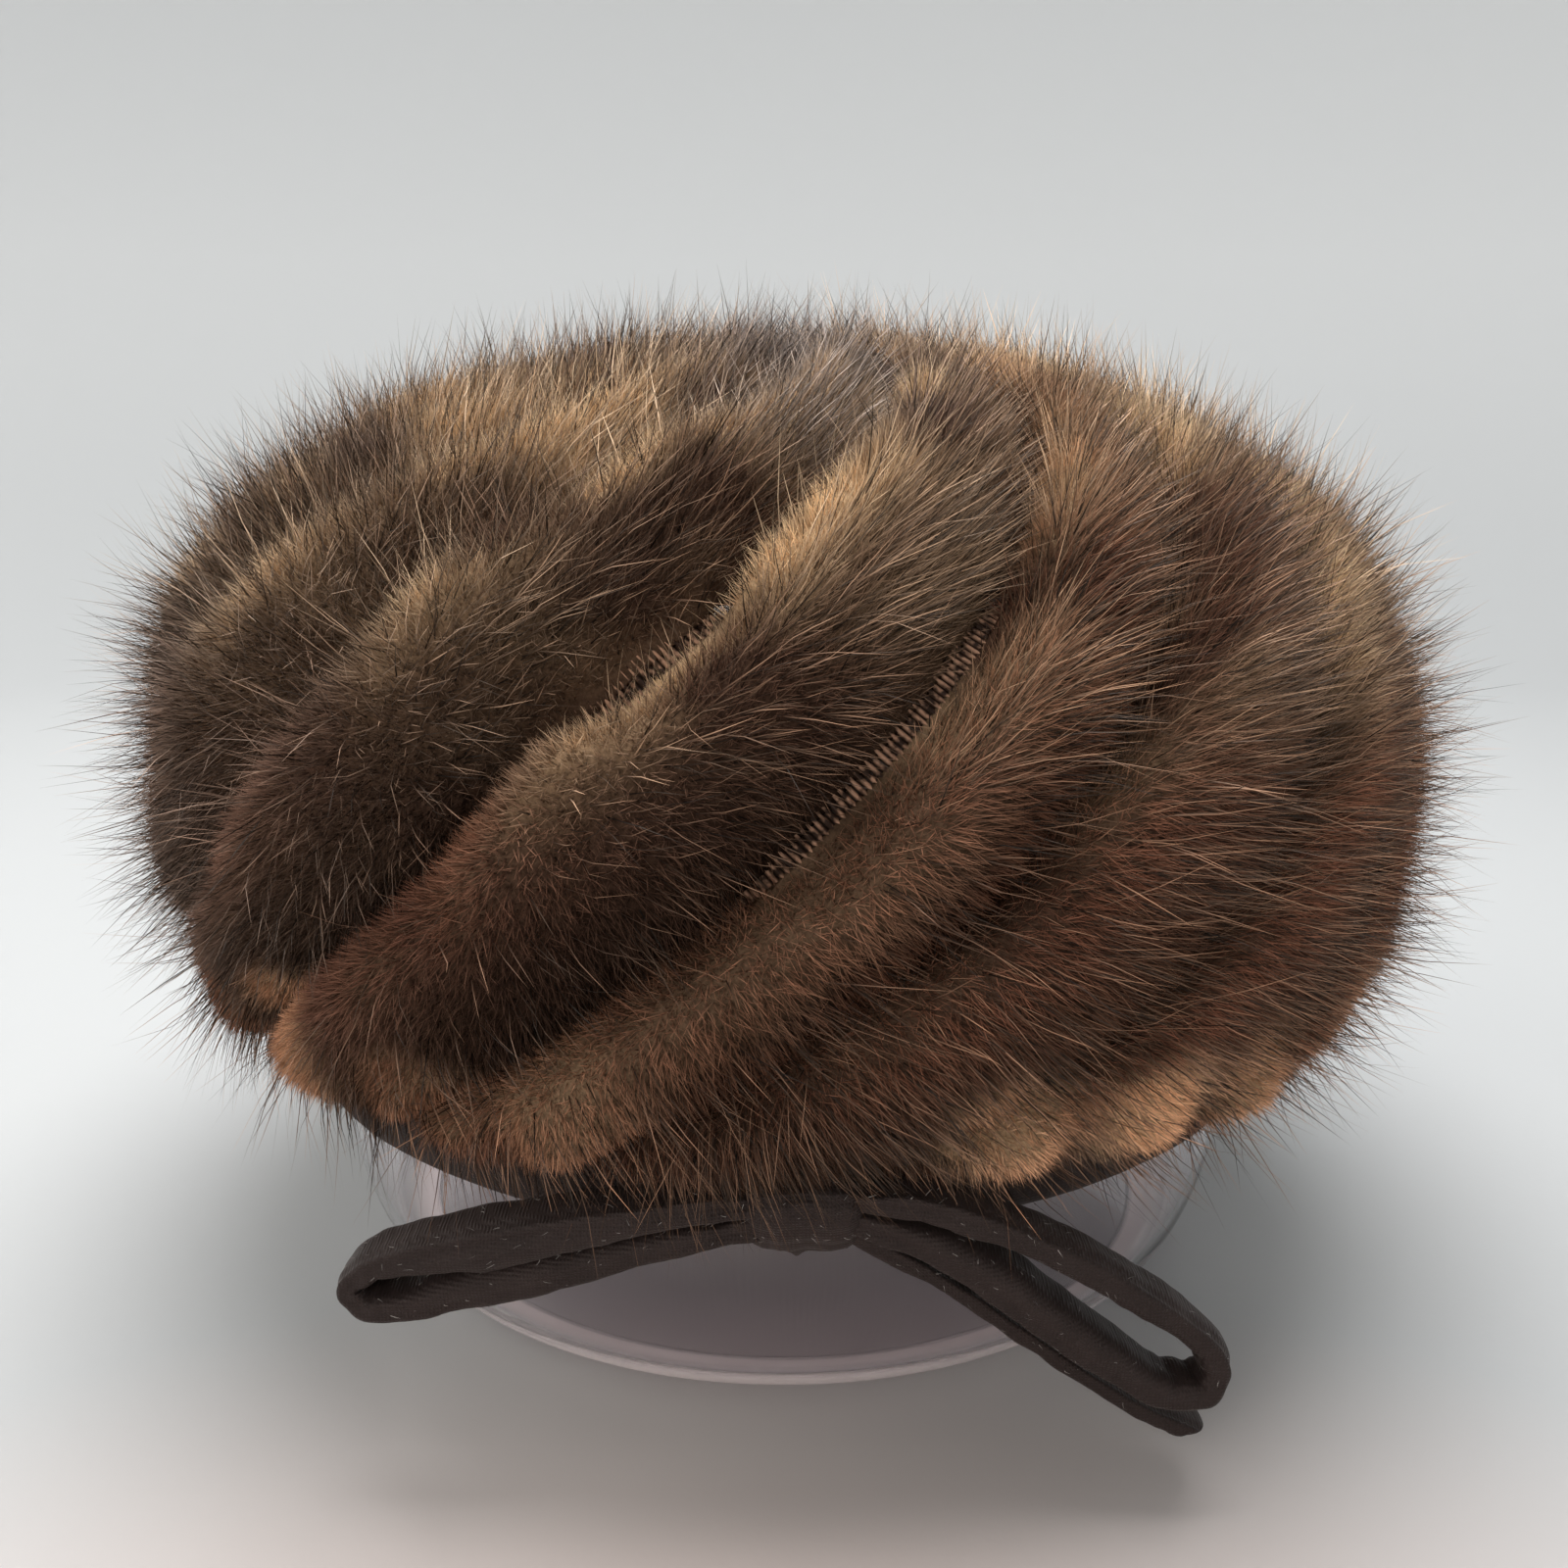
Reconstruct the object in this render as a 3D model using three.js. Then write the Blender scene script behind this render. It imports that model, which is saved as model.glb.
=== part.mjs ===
// A swirled fur strip hat with a cloth tube bow, resting on a clear plastic bowl.
// Millimetres, +Z up. The origin is the middle of the bowl's underside, the bow faces -Y.
import * as THREE from "three";
import { mergeVertices } from "three/addons/utils/BufferGeometryUtils.js";

// Round pieces share one facet count, so nested walls keep an even gap
const ROUND_FACETS = 48;
const SEAT_GAP = 0.35;
const MERGE_DISTANCE = 1e-4;

// Crown: a boxy dome of stiff ribbed cloth, open below
const CROWN = {
  radius: 100.5,
  equatorZ: 94.7,
  rise: 56.5,
  riseExponent: 2.2,
  drop: 85.7,
  dropExponent: 3,
};
const CROWN_WALL = 1.6;
const CROWN_STEPS = 11;
const MERIDIAN_SAMPLES = 1200;
const RIM_Z = 37;

// Rim band: cloth round the lower edge of the crown
const BAND_WALL = 1.3;
const BAND_BOTTOM_Z = 36.6;
const BAND_TOP_Z = 49.5;
const BAND_STEPS = 2;

// Fur strips: the seam on the left of each strip, at the crown's widest height.
// Azimuth is 0 at the front, where the bow is, and grows towards +X.
const STRIPS = [
  { seamAzimuth: 64 },
  { seamAzimuth: 40 },
  { seamAzimuth: 16 },
  { seamAzimuth: -1 },
  { seamAzimuth: -26 },
  { seamAzimuth: -48 },
  { seamAzimuth: -70 },
  { seamAzimuth: -92 },
  { seamAzimuth: -114 },
  { seamAzimuth: -137 },
  { seamAzimuth: -160 },
  { seamAzimuth: -183 },
  { seamAzimuth: -205 },
  { seamAzimuth: -227 },
  { seamAzimuth: -249 },
  { seamAzimuth: -272 },
];
const SWIRL_ABOVE = 0.57;
const SWIRL_BELOW = 0.62;
const HEM_SWEEP = 0.004;
const STRIP_HEM_Z = 51;
const STRIP_END_RADIUS = 3.2;
const STRIP_BACKING_GAP = 0.8;
const STRIP_SIDE_GAP = 0.3;
const STRIP_SIDE_SHARE = 0.01;
const STRIP_VALLEY = 0.08;
const FUR_DEPTH = 15.2;
const FUR_DEPTH_AT_TOP = 14.4;
const LOCK_RELIEF = 1.5;
const LOCK_FULL_WIDTH = 30;

// How the fur's depth grows over the hem, and how far it droops over the band
const HEM_SECTIONS = [
  { up: 0, depth: 0.26, droop: 1.5 },
  { up: 3, depth: 0.52, droop: 3.5 },
  { up: 8, depth: 0.76, droop: 3 },
  { up: 16, depth: 0.94, droop: 1 },
];
const STRIP_STEPS = 13;

// The hem rises a little over the bow
const BOW_LIFT = { azimuth: 5, spread: 26, squareness: 4, rise: 3, droopShare: 0.4 };

// The mound across one strip, from its left seam (0) to its right seam (1)
const MOUND = [
  { across: 0.0, height: 0.34 },
  { across: 0.09, height: 0.74 },
  { across: 0.26, height: 0.95 },
  { across: 0.48, height: 1.0 },
  { across: 0.7, height: 0.94 },
  { across: 0.89, height: 0.76 },
  { across: 1.0, height: 0.4 },
];
const BACKING_STEPS = 4;

// Stand: a clear plastic bowl with a flat base and a widely rounded lower edge
const STAND_BASE_RADIUS = 74;
const STAND_RADIUS = 86.8;
const STAND_ROUND_HEIGHT = 36;
const STAND_ROUND_EXPONENT = 1.9;
const STAND_WALL = 1.8;
const STAND_ROUND_STEPS = 7;
const STAND_SEAT_DROP = 0.5;

// Bow: a soft padded cloth tube, its width lying along Y
const TUBE_WIDTH = 9.2;
const TUBE_THICKNESS = 4.8;
const TUBE_FACETS = 10;

// Centre lines of the bow, seen from the front. size is the tube's share of its full section.
const LEFT_LOOP = [
  { x: -5.5, z: 48.8, y: -101.4, size: 0.7 },
  { x: -13, z: 48.4, y: -102, size: 0.9 },
  { x: -23, z: 47.2, y: -102, size: 1 },
  { x: -33, z: 45.6, y: -102, size: 1 },
  { x: -42, z: 43.9, y: -102, size: 1 },
  { x: -51, z: 41.6, y: -102, size: 1 },
  { x: -57.6, z: 39, y: -102, size: 0.95 },
  { x: -60, z: 36, y: -102, size: 0.9 },
  { x: -57.6, z: 33.6, y: -102, size: 0.95 },
  { x: -51, z: 33.6, y: -102, size: 1 },
  { x: -42, z: 35.4, y: -102, size: 1 },
  { x: -33, z: 37.4, y: -102, size: 1 },
  { x: -23, z: 40.2, y: -101.6, size: 0.95 },
  { x: -13, z: 42.8, y: -101, size: 0.85 },
  { x: -5.5, z: 43.6, y: -100.2, size: 0.7 },
];
const RIGHT_LOOP = [
  { x: 11, z: 49.2, y: -101.2, size: 0.7 },
  { x: 20, z: 48.6, y: -102, size: 0.9 },
  { x: 30, z: 45.4, y: -102.5, size: 1 },
  { x: 39, z: 41.2, y: -102.5, size: 1 },
  { x: 48, z: 35.8, y: -102.5, size: 1 },
  { x: 55.5, z: 30.4, y: -102.5, size: 0.95 },
  { x: 60.2, z: 25.2, y: -102.5, size: 0.9 },
  { x: 59.6, z: 20.6, y: -102.5, size: 0.9 },
  { x: 54, z: 20, y: -102.5, size: 1 },
  { x: 46, z: 24, y: -102.5, size: 1 },
  { x: 37, z: 30.4, y: -102.5, size: 1 },
  { x: 28, z: 37.2, y: -102, size: 1 },
  { x: 19, z: 42.4, y: -101.4, size: 0.9 },
  { x: 11, z: 45, y: -100.4, size: 0.7 },
];
const TAIL = [
  { x: 11, z: 41.4, y: -98.6, size: 0.75 },
  { x: 18, z: 37, y: -97, size: 0.9 },
  { x: 26, z: 31.6, y: -96.5, size: 1 },
  { x: 35, z: 24.6, y: -96, size: 1 },
  { x: 44, z: 18, y: -96, size: 1 },
  { x: 52, z: 12.8, y: -96, size: 1 },
  { x: 58.4, z: 9.6, y: -96, size: 1 },
];
const TAIL_THICKNESS = 3.4;
const TAIL_CUT_SLANT = 3;

// Knot: the tube wrapped once round the loops, pleated, in sections from left to right
const KNOT_SECTIONS = [
  { x: -4.9, depth: 0.66, height: 0.8 },
  { x: -3.2, depth: 0.9, height: 0.94 },
  { x: -0.5, depth: 1, height: 1 },
  { x: 3, depth: 0.93, height: 0.96 },
  { x: 6.5, depth: 1, height: 1 },
  { x: 8.9, depth: 0.88, height: 0.94 },
  { x: 10.2, depth: 0.66, height: 0.8 },
];
const KNOT_CENTRE = { y: -100.5, z: 45.2 };
const KNOT_HALF_DEPTH = 5;
const KNOT_HALF_HEIGHT = 6.8;
const KNOT_LEAN = 0.42;
const KNOT_FACETS = 16;
const KNOT_PLEAT = 0.05;

const FULL_TURN = 2 * Math.PI;
const radians = (degrees) => THREE.MathUtils.degToRad(degrees);

// One point of the crown's outline, at an angle from -90 (rim side) to 90 degrees (top)
function outlinePoint(shape, angle) {
  const up = angle >= 0;
  const power = 2 / (up ? shape.riseExponent : shape.dropExponent);
  const across = Math.pow(Math.max(Math.cos(angle), 0), power);
  const along = Math.pow(Math.abs(Math.sin(angle)), power);
  const reach = up ? shape.rise * along : -shape.drop * along;
  return new THREE.Vector2(shape.radius * across, shape.equatorZ + reach);
}

// The crown's meridian as a curve that can be read by length, from the rim to the top
function makeMeridian(shape, lowestZ) {
  const points = [];
  for (let i = 0; i <= MERIDIAN_SAMPLES; i += 1) {
    const angle = radians(-90 + (180 * i) / MERIDIAN_SAMPLES);
    const point = outlinePoint(shape, angle);
    if (point.y >= lowestZ) points.push(point);
  }
  const lengths = [0];
  for (let i = 1; i < points.length; i += 1) {
    lengths.push(lengths[i - 1] + points[i].distanceTo(points[i - 1]));
  }
  const read = (length) => {
    let i = 1;
    while (i < points.length - 1 && lengths[i] < length) i += 1;
    const share = (length - lengths[i - 1]) / (lengths[i] - lengths[i - 1]);
    const point = points[i - 1].clone().lerp(points[i], share);
    const along = points[i].clone().sub(points[i - 1]).normalize();
    const out = new THREE.Vector2(along.y, -along.x);
    return { point, along, out };
  };
  const lengthAtZ = (z) => {
    const i = points.findIndex((point) => point.y >= z);
    return lengths[i];
  };
  const lengthAtRadius = (radius) => {
    const i = points.findLastIndex((point) => point.x >= radius);
    return lengths[i];
  };
  return { read, lengthAtZ, lengthAtRadius, total: lengths.at(-1) };
}

const meridian = makeMeridian(CROWN, RIM_Z);
const equatorLength = meridian.lengthAtZ(CROWN.equatorZ);

// A point off the crown's surface, by azimuth, length along the meridian and height over it
function overCrown(azimuth, length, height, droop) {
  const { point, along, out } = meridian.read(length);
  const radius = point.x + out.x * height - along.x * droop;
  const z = point.y + out.y * height - along.y * droop;
  return new THREE.Vector3(radius * Math.sin(azimuth), -radius * Math.cos(azimuth), z);
}

// Turns a solid's faces outwards when its volume comes out negative
function facingOut(geometry) {
  const place = geometry.attributes.position;
  const index = geometry.index;
  const [a, b, c] = [new THREE.Vector3(), new THREE.Vector3(), new THREE.Vector3()];
  let volume = 0;
  for (let i = 0; i < index.count; i += 3) {
    a.fromBufferAttribute(place, index.getX(i));
    b.fromBufferAttribute(place, index.getX(i + 1));
    c.fromBufferAttribute(place, index.getX(i + 2));
    volume += a.dot(b.cross(c));
  }
  if (volume < 0) {
    for (let i = 0; i < index.count; i += 3) {
      const second = index.getX(i + 1);
      index.setX(i + 1, index.getX(i + 2));
      index.setX(i + 2, second);
    }
  }
  geometry.computeVertexNormals();
  return geometry;
}

// A closed solid through rings of equally many points, with a flat fan at each end
function loftRings(rings) {
  const count = rings[0].length;
  const places = [];
  const faces = [];
  rings.forEach((ring) => ring.forEach((point) => places.push(point.x, point.y, point.z)));
  for (let k = 0; k + 1 < rings.length; k += 1) {
    for (let j = 0; j < count; j += 1) {
      const next = (j + 1) % count;
      const corners = [k * count + j, k * count + next, (k + 1) * count + next, (k + 1) * count + j];
      const rising = rings[k][j].distanceTo(rings[k + 1][next]);
      const falling = rings[k][next].distanceTo(rings[k + 1][j]);
      if (rising <= falling) {
        faces.push(corners[0], corners[1], corners[2], corners[0], corners[2], corners[3]);
      } else {
        faces.push(corners[0], corners[1], corners[3], corners[1], corners[2], corners[3]);
      }
    }
  }
  const last = (rings.length - 1) * count;
  const ends = [
    { ring: rings[0], start: 0, turn: 1 },
    { ring: rings.at(-1), start: last, turn: -1 },
  ];
  ends.forEach(({ ring, start, turn }) => {
    const middle = ring.reduce((sum, point) => sum.add(point), new THREE.Vector3());
    middle.divideScalar(count);
    const centre = places.length / 3;
    places.push(middle.x, middle.y, middle.z);
    for (let j = 0; j < count; j += 1) {
      const next = (j + 1) % count;
      if (turn > 0) faces.push(centre, start + next, start + j);
      else faces.push(centre, start + j, start + next);
    }
  });
  const geometry = new THREE.BufferGeometry();
  geometry.setAttribute("position", new THREE.Float32BufferAttribute(places, 3));
  geometry.setIndex(faces);
  return facingOut(geometry);
}

// A closed profile of (radius, z) points turned round the Z axis
function turned(profile) {
  const geometry = new THREE.LatheGeometry(profile, ROUND_FACETS);
  geometry.rotateX(Math.PI / 2);
  geometry.deleteAttribute("normal");
  geometry.deleteAttribute("uv");
  return facingOut(mergeVertices(geometry, MERGE_DISTANCE));
}

// The crown's outline between two lengths, set off by a distance, as (radius, z) points
function offsetOutline(from, to, steps, offset) {
  const points = [];
  for (let i = 0; i <= steps; i += 1) {
    const { point, out } = meridian.read(from + ((to - from) * i) / steps);
    points.push(new THREE.Vector2(point.x + out.x * offset, point.y + out.y * offset));
  }
  return points;
}

// The crown's inside, from the top of the dome down to the rim
function crownInside() {
  const inside = offsetOutline(0, meridian.total, CROWN_STEPS, -CROWN_WALL).reverse();
  inside[0].x = 0;
  inside.at(-1).y = RIM_Z;
  return inside;
}

function makeCrown() {
  const outside = offsetOutline(0, meridian.total, CROWN_STEPS, 0);
  outside.at(-1).x = 0;
  return turned([...crownInside(), ...outside]);
}

function makeBand() {
  const top = meridian.lengthAtZ(BAND_TOP_Z);
  const inside = offsetOutline(0, top, BAND_STEPS, SEAT_GAP);
  const outside = offsetOutline(0, top, BAND_STEPS, SEAT_GAP + BAND_WALL).reverse();
  inside[0].y = BAND_BOTTOM_Z;
  outside.at(-1).y = BAND_BOTTOM_Z;
  const profile = [...inside, ...outside];
  profile.push(profile[0].clone());
  return turned(profile);
}

// The bowl's outer radius at a height: a wide rounded corner, then an upright wall
function standRadius(z) {
  const share = Math.min(z / STAND_ROUND_HEIGHT, 1);
  const rounding = Math.pow(1 - Math.pow(1 - share, STAND_ROUND_EXPONENT), 1 / STAND_ROUND_EXPONENT);
  return STAND_BASE_RADIUS + (STAND_RADIUS - STAND_BASE_RADIUS) * rounding;
}

// The height at which the crown's inside rests on the bowl's rim
function seatHeight() {
  const inside = crownInside();
  const i = inside.findIndex((point) => point.x >= STAND_RADIUS);
  const share = (STAND_RADIUS - inside[i - 1].x) / (inside[i].x - inside[i - 1].x);
  return THREE.MathUtils.lerp(inside[i - 1].y, inside[i].y, share);
}

function makeStand() {
  const outside = [new THREE.Vector2(0, 0)];
  for (let i = 0; i <= STAND_ROUND_STEPS; i += 1) {
    const share = i / STAND_ROUND_STEPS;
    const z = STAND_ROUND_HEIGHT * share * share;
    outside.push(new THREE.Vector2(standRadius(z), z));
  }
  outside.push(new THREE.Vector2(STAND_RADIUS, seatHeight() - STAND_SEAT_DROP));
  const inside = outside.slice(1).map((point) => {
    return new THREE.Vector2(point.x - STAND_WALL, Math.max(point.y, STAND_WALL));
  });
  inside[0].x = STAND_BASE_RADIUS - STAND_WALL;
  inside.splice(1, 1);
  return turned([...outside, ...inside.reverse(), new THREE.Vector2(0, STAND_WALL)]);
}

// How much of the lift over the bow the hem has at an azimuth, from 0 to 1
function bowLift(azimuth) {
  const away = THREE.MathUtils.radToDeg(azimuth) - BOW_LIFT.azimuth;
  return Math.exp(-Math.pow(away / BOW_LIFT.spread, BOW_LIFT.squareness));
}

// How far a seam has swirled from its azimuth at the equator, at a length up the meridian
function swirl(length) {
  const below = equatorLength - length;
  if (below < 0) return radians(-below * SWIRL_ABOVE);
  return radians(-below * SWIRL_BELOW - below * below * HEM_SWEEP);
}

// Where the sections of a strip lie: close together at the hem, then evenly to the top
function stripSections() {
  const from = meridian.lengthAtZ(STRIP_HEM_Z);
  const to = meridian.lengthAtRadius(STRIP_END_RADIUS);
  const hemReach = HEM_SECTIONS.at(-1).up;
  const sections = HEM_SECTIONS.map(({ up, depth, droop }) => {
    return { length: from + up, depth, droop, lift: BOW_LIFT.rise * (1 - up / hemReach) };
  });
  const start = sections.at(-1).length;
  for (let i = 1; i <= STRIP_STEPS; i += 1) {
    sections.push({ length: start + ((to - start) * i) / STRIP_STEPS, depth: 1, droop: 0, lift: 0 });
  }
  return sections;
}

// One strip: a pelt backing along the crown with its mound of fur locks fused on
function makeStrip(leftSeam, rightSeam) {
  const rings = stripSections().map(({ length, depth, droop, lift }, k) => {
    const turn = swirl(length);
    const { point } = meridian.read(length);
    const width = (rightSeam - leftSeam) * point.x;
    const side = Math.max(STRIP_SIDE_GAP / width, STRIP_SIDE_SHARE);
    const high = Math.max(length - equatorLength, 0) / (meridian.total - equatorLength);
    const full = depth * (FUR_DEPTH + (FUR_DEPTH_AT_TOP - FUR_DEPTH) * high);
    const roundness = Math.min(width / LOCK_FULL_WIDTH, 1);
    const relief = LOCK_RELIEF * roundness * depth;
    const at = (across, height, hang) => {
      const azimuth = leftSeam + turn + (rightSeam - leftSeam) * across;
      const share = bowLift(azimuth);
      const hanging = hang * (1 - BOW_LIFT.droopShare * share);
      return overCrown(azimuth, length + lift * share, height, hanging);
    };
    const top = MOUND.map(({ across, height }, j) => {
      const inset = side + across * (1 - 2 * side);
      const level = 1 - (1 - height) * roundness;
      const lock = (j + k) % 2 === 0 ? relief : -relief;
      return at(inset, full * level + lock, droop * height);
    });
    const edge = Math.max(STRIP_VALLEY, side);
    const backing = [];
    for (let i = 0; i <= BACKING_STEPS; i += 1) {
      const across = 1 - edge - ((1 - 2 * edge) * i) / BACKING_STEPS;
      backing.push(at(across, STRIP_BACKING_GAP, 0));
    }
    return [...top, ...backing];
  });
  return loftRings(rings);
}

// A cloth tube swept through a table of centre points, its width lying along Y
function makeTube(table, thickness, slant = 0) {
  const path = new THREE.CatmullRomCurve3(table.map(({ x, y, z }) => new THREE.Vector3(x, y, z)));
  const steps = 2 * (table.length - 1);
  const rings = [];
  for (let k = 0; k <= steps; k += 1) {
    const share = k / steps;
    const centre = path.getPoint(share);
    const along = path.getTangent(share);
    const across = new THREE.Vector3(0, 1, 0);
    const normal = new THREE.Vector3().crossVectors(along, across).normalize();
    const row = Math.min(Math.floor(k / 2), table.length - 2);
    const size = THREE.MathUtils.lerp(table[row].size, table[row + 1].size, k / 2 - row);
    const ring = [];
    for (let j = 0; j < TUBE_FACETS; j += 1) {
      const angle = (FULL_TURN * (j + 0.5)) / TUBE_FACETS;
      const point = centre.clone();
      point.addScaledVector(across, 0.5 * TUBE_WIDTH * size * Math.cos(angle));
      point.addScaledVector(normal, 0.5 * thickness * size * Math.sin(angle));
      if (k === steps) point.addScaledVector(along, slant * Math.sin(angle));
      ring.push(point);
    }
    rings.push(ring);
  }
  return loftRings(rings);
}

// The knot leans back with the band and is creased by pleats that run along X
function makeKnot() {
  const rings = KNOT_SECTIONS.map(({ x, depth, height }) => {
    const ring = [];
    for (let j = 0; j < KNOT_FACETS; j += 1) {
      const angle = (FULL_TURN * j) / KNOT_FACETS;
      const pleat = 1 - (j % 2 === 0 ? KNOT_PLEAT : 0);
      const rise = KNOT_HALF_HEIGHT * height * pleat * Math.sin(angle);
      const out = KNOT_HALF_DEPTH * depth * pleat * Math.cos(angle);
      ring.push(new THREE.Vector3(x, KNOT_CENTRE.y + out - KNOT_LEAN * rise, KNOT_CENTRE.z + rise));
    }
    return ring;
  });
  return loftRings(rings);
}

const COLOURS = {
  crownCloth: 0x2a1a12,
  bandCloth: 0x1d1512,
  fur: 0x5a3a22,
  bowCloth: 0x3a2e2c,
  clearPlastic: 0xe6e2e6,
};

const soft = (color) => new THREE.MeshStandardMaterial({ color, roughness: 0.9, metalness: 0 });

const clearPlastic = new THREE.MeshStandardMaterial({
  color: COLOURS.clearPlastic,
  roughness: 0.08,
  metalness: 0,
  transparent: true,
  opacity: 0.3,
});

const hat = new THREE.Group();

function addPiece(name, geometry, material) {
  const mesh = new THREE.Mesh(geometry, material);
  mesh.name = name;
  hat.add(mesh);
}

addPiece("stand", makeStand(), clearPlastic);
addPiece("crown", makeCrown(), soft(COLOURS.crownCloth));
addPiece("rim_band", makeBand(), soft(COLOURS.bandCloth));
STRIPS.forEach(({ seamAzimuth }, i) => {
  const before = STRIPS[(i + STRIPS.length - 1) % STRIPS.length].seamAzimuth;
  const rightSeam = before > seamAzimuth ? before : before + 360;
  const name = `fur_strip_${String(i + 1).padStart(2, "0")}`;
  addPiece(name, makeStrip(radians(seamAzimuth), radians(rightSeam)), soft(COLOURS.fur));
});
addPiece("bow_loop_left", makeTube(LEFT_LOOP, TUBE_THICKNESS), soft(COLOURS.bowCloth));
addPiece("bow_loop_right", makeTube(RIGHT_LOOP, TUBE_THICKNESS), soft(COLOURS.bowCloth));
addPiece("bow_tail", makeTube(TAIL, TAIL_THICKNESS, TAIL_CUT_SLANT), soft(COLOURS.bowCloth));
addPiece("bow_knot", makeKnot(), soft(COLOURS.bowCloth));

export default hat;
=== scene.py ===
"""Fur hat on a clear plastic bowl: the looks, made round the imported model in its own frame."""

import math

import bpy
import numpy as np
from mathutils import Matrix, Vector, noise

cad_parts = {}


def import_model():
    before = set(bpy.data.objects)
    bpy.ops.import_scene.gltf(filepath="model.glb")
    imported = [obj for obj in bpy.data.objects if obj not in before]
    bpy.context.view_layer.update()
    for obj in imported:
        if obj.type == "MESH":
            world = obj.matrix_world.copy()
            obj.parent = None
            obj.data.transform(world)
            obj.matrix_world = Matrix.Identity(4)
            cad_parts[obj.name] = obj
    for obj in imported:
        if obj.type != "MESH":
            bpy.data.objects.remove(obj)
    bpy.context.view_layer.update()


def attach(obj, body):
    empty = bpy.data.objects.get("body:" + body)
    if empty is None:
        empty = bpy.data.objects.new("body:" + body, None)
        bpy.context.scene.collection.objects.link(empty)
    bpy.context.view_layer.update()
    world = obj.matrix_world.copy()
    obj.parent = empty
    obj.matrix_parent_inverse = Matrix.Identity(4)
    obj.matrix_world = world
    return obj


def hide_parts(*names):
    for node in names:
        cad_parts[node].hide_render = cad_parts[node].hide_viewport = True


MM = 0.001
ROOT = "root"

# Camera, as the photograph was taken
CAMERA_PLACE = (0.0, -0.297, 0.158)
CAMERA_PITCH_DOWN = 14.5
CAMERA_LENS = 36
CAMERA_SENSOR = 36

# Lamps by name, place, width, power and colour, and the even light of the tent
LAMPS = [
    ("top light", (0.0, 0.12, 0.95), 0.8, 12.5, (1.0, 0.99, 0.98)),
    ("front light", (-0.3, -0.9, 0.4), 0.6, 3.0, (1.0, 0.9, 0.82)),
    ("left light", (-0.8, 0.1, 0.6), 0.6, 3.2, (1.0, 0.97, 0.92)),
]
LAMP_AIM = (0, 0, 0.08)
WORLD_COLOUR = (0.93, 0.985, 1.0)
WORLD_STRENGTH = 0.38

# Tent of pale paper: its floor and wall in millimetres, and the painted warm bounce light of the fur on the
# floor before the hat
TENT = {"floor_z": -0.4, "flat_radius": 300.0, "radius": 1150.0, "bend": 500.0, "wall": 900.0}
FLOOR_PAPER = (0.5, 0.512, 0.52)
WALL_PAPER = (0.6, 0.61, 0.615)
TENT_STEPS = 16
TENT_FACETS = 96
PAINTED_WARM_BOUNCE = {"middle": (0.0, -0.135, 0.0), "narrowing": (6.4, 10.5, 0.0), "colour": (0.7, 0.59, 0.55)}

# Crown outline, shared with the model
CROWN = {
    "radius": 100.5,
    "equator_z": 94.7,
    "rise": 56.5,
    "rise_exponent": 2.2,
    "drop": 85.7,
    "drop_exponent": 3,
}
CROWN_WALL = 1.6
RIM_FOLD = 0.35
RIM_Z = 37
MERIDIAN_SAMPLES = 1200

# Fur strips. seam is the azimuth of the strip's left seam at the crown's widest height,
# pale is how much light underfur, with painted light from above, shows along that seam,
# dark how deep the painted shade on its far side is, ridge how steeply the strip stands up
# beside that seam, guard how thick its guard hair is, velvet how bare of it the lower left
# side is, red how reddish the strip is, hem_turn bends the seam at the hem.
STRIP_WORDS = ("seam", "pale", "dark", "ridge", "hem_turn", "guard", "velvet", "red")
STRIP_TABLE = [
    (64, 0.45, 0.6, 0.15, 4, 1.25, 0.3, -0.2),
    (40, 0.7, 0.6, 0.25, 0, 1.25, 0.3, -0.12),
    (16, 0.7, 0.6, 0.3, 0, 1.25, 0.5, 0.08),
    (-1, 0.45, 0.7, 0.45, 0, 1.2, 1.0, 0.42),
    (-26, 1.8, 0.78, 1.0, 0, 1.0, 0.95, -0.12),
    (-48, 0.74, 0.6, 1.0, 0, 1.05, 0.6, -0.42),
    (-70, 0.72, 0.15, 0.82, 0, 1.3, 0.45, -0.45),
    (-92, 0.85, 0.15, 0.82, 0, 1.6, 0.3, -0.45),
    (-114, 0.55, 0.25, 0.85, 0, 1.6, 0.3, -0.4),
    (-137, 0.7, 0.9, 0.85, 0, 1.4, 0.3, 0.2),
    (-160, 0.45, 0.9, 0.85, 0, 1.15, 0.3, 0.0),
    (-183, 0.6, 0.9, 0.85, 0, 1.15, 0.3, 0.0),
    (-205, 0.75, 0.9, 0.85, 0, 1.15, 0.3, 0.25),
    (-227, 0.4, 0.9, 0.85, 0, 1.15, 0.3, 0.0),
    (-249, 0.6, 0.9, 0.85, 0, 1.15, 0.3, 0.0),
    (-272, 0.35, 0.9, 0.85, 0, 1.3, 0.3, -0.25),
]
STRIPS = [dict(zip(STRIP_WORDS, row)) for row in STRIP_TABLE]

# How the seams swirl, in degrees for each millimetre above and below the widest height
SWIRL_ABOVE = 0.57
SWIRL_BELOW = 0.62
HEM_SWEEP = 0.004
STRIP_HEM_Z = 51
STRIP_END_RADIUS = 3.2
BACKING_GAP = 0.8
FUR_DEPTH = 15.2
FUR_DEPTH_AT_TOP = 14.4
ROUND_WIDTH = 30

# How the fur comes up from the hem: millimetres up the crown, the share of its full depth
# there, and how far it hangs down
HEM_UP = [0, 3, 8, 16, 24]
HEM_DEPTH = [0.26, 0.52, 0.76, 0.94, 1.0]
HEM_DROOP = [0.0, 0.8, 1.0, 0.5, 0.0]
BOW_LIFT = {"azimuth": 5, "spread": 26, "squareness": 4, "rise": 3, "droop_share": 0.4}

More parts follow.
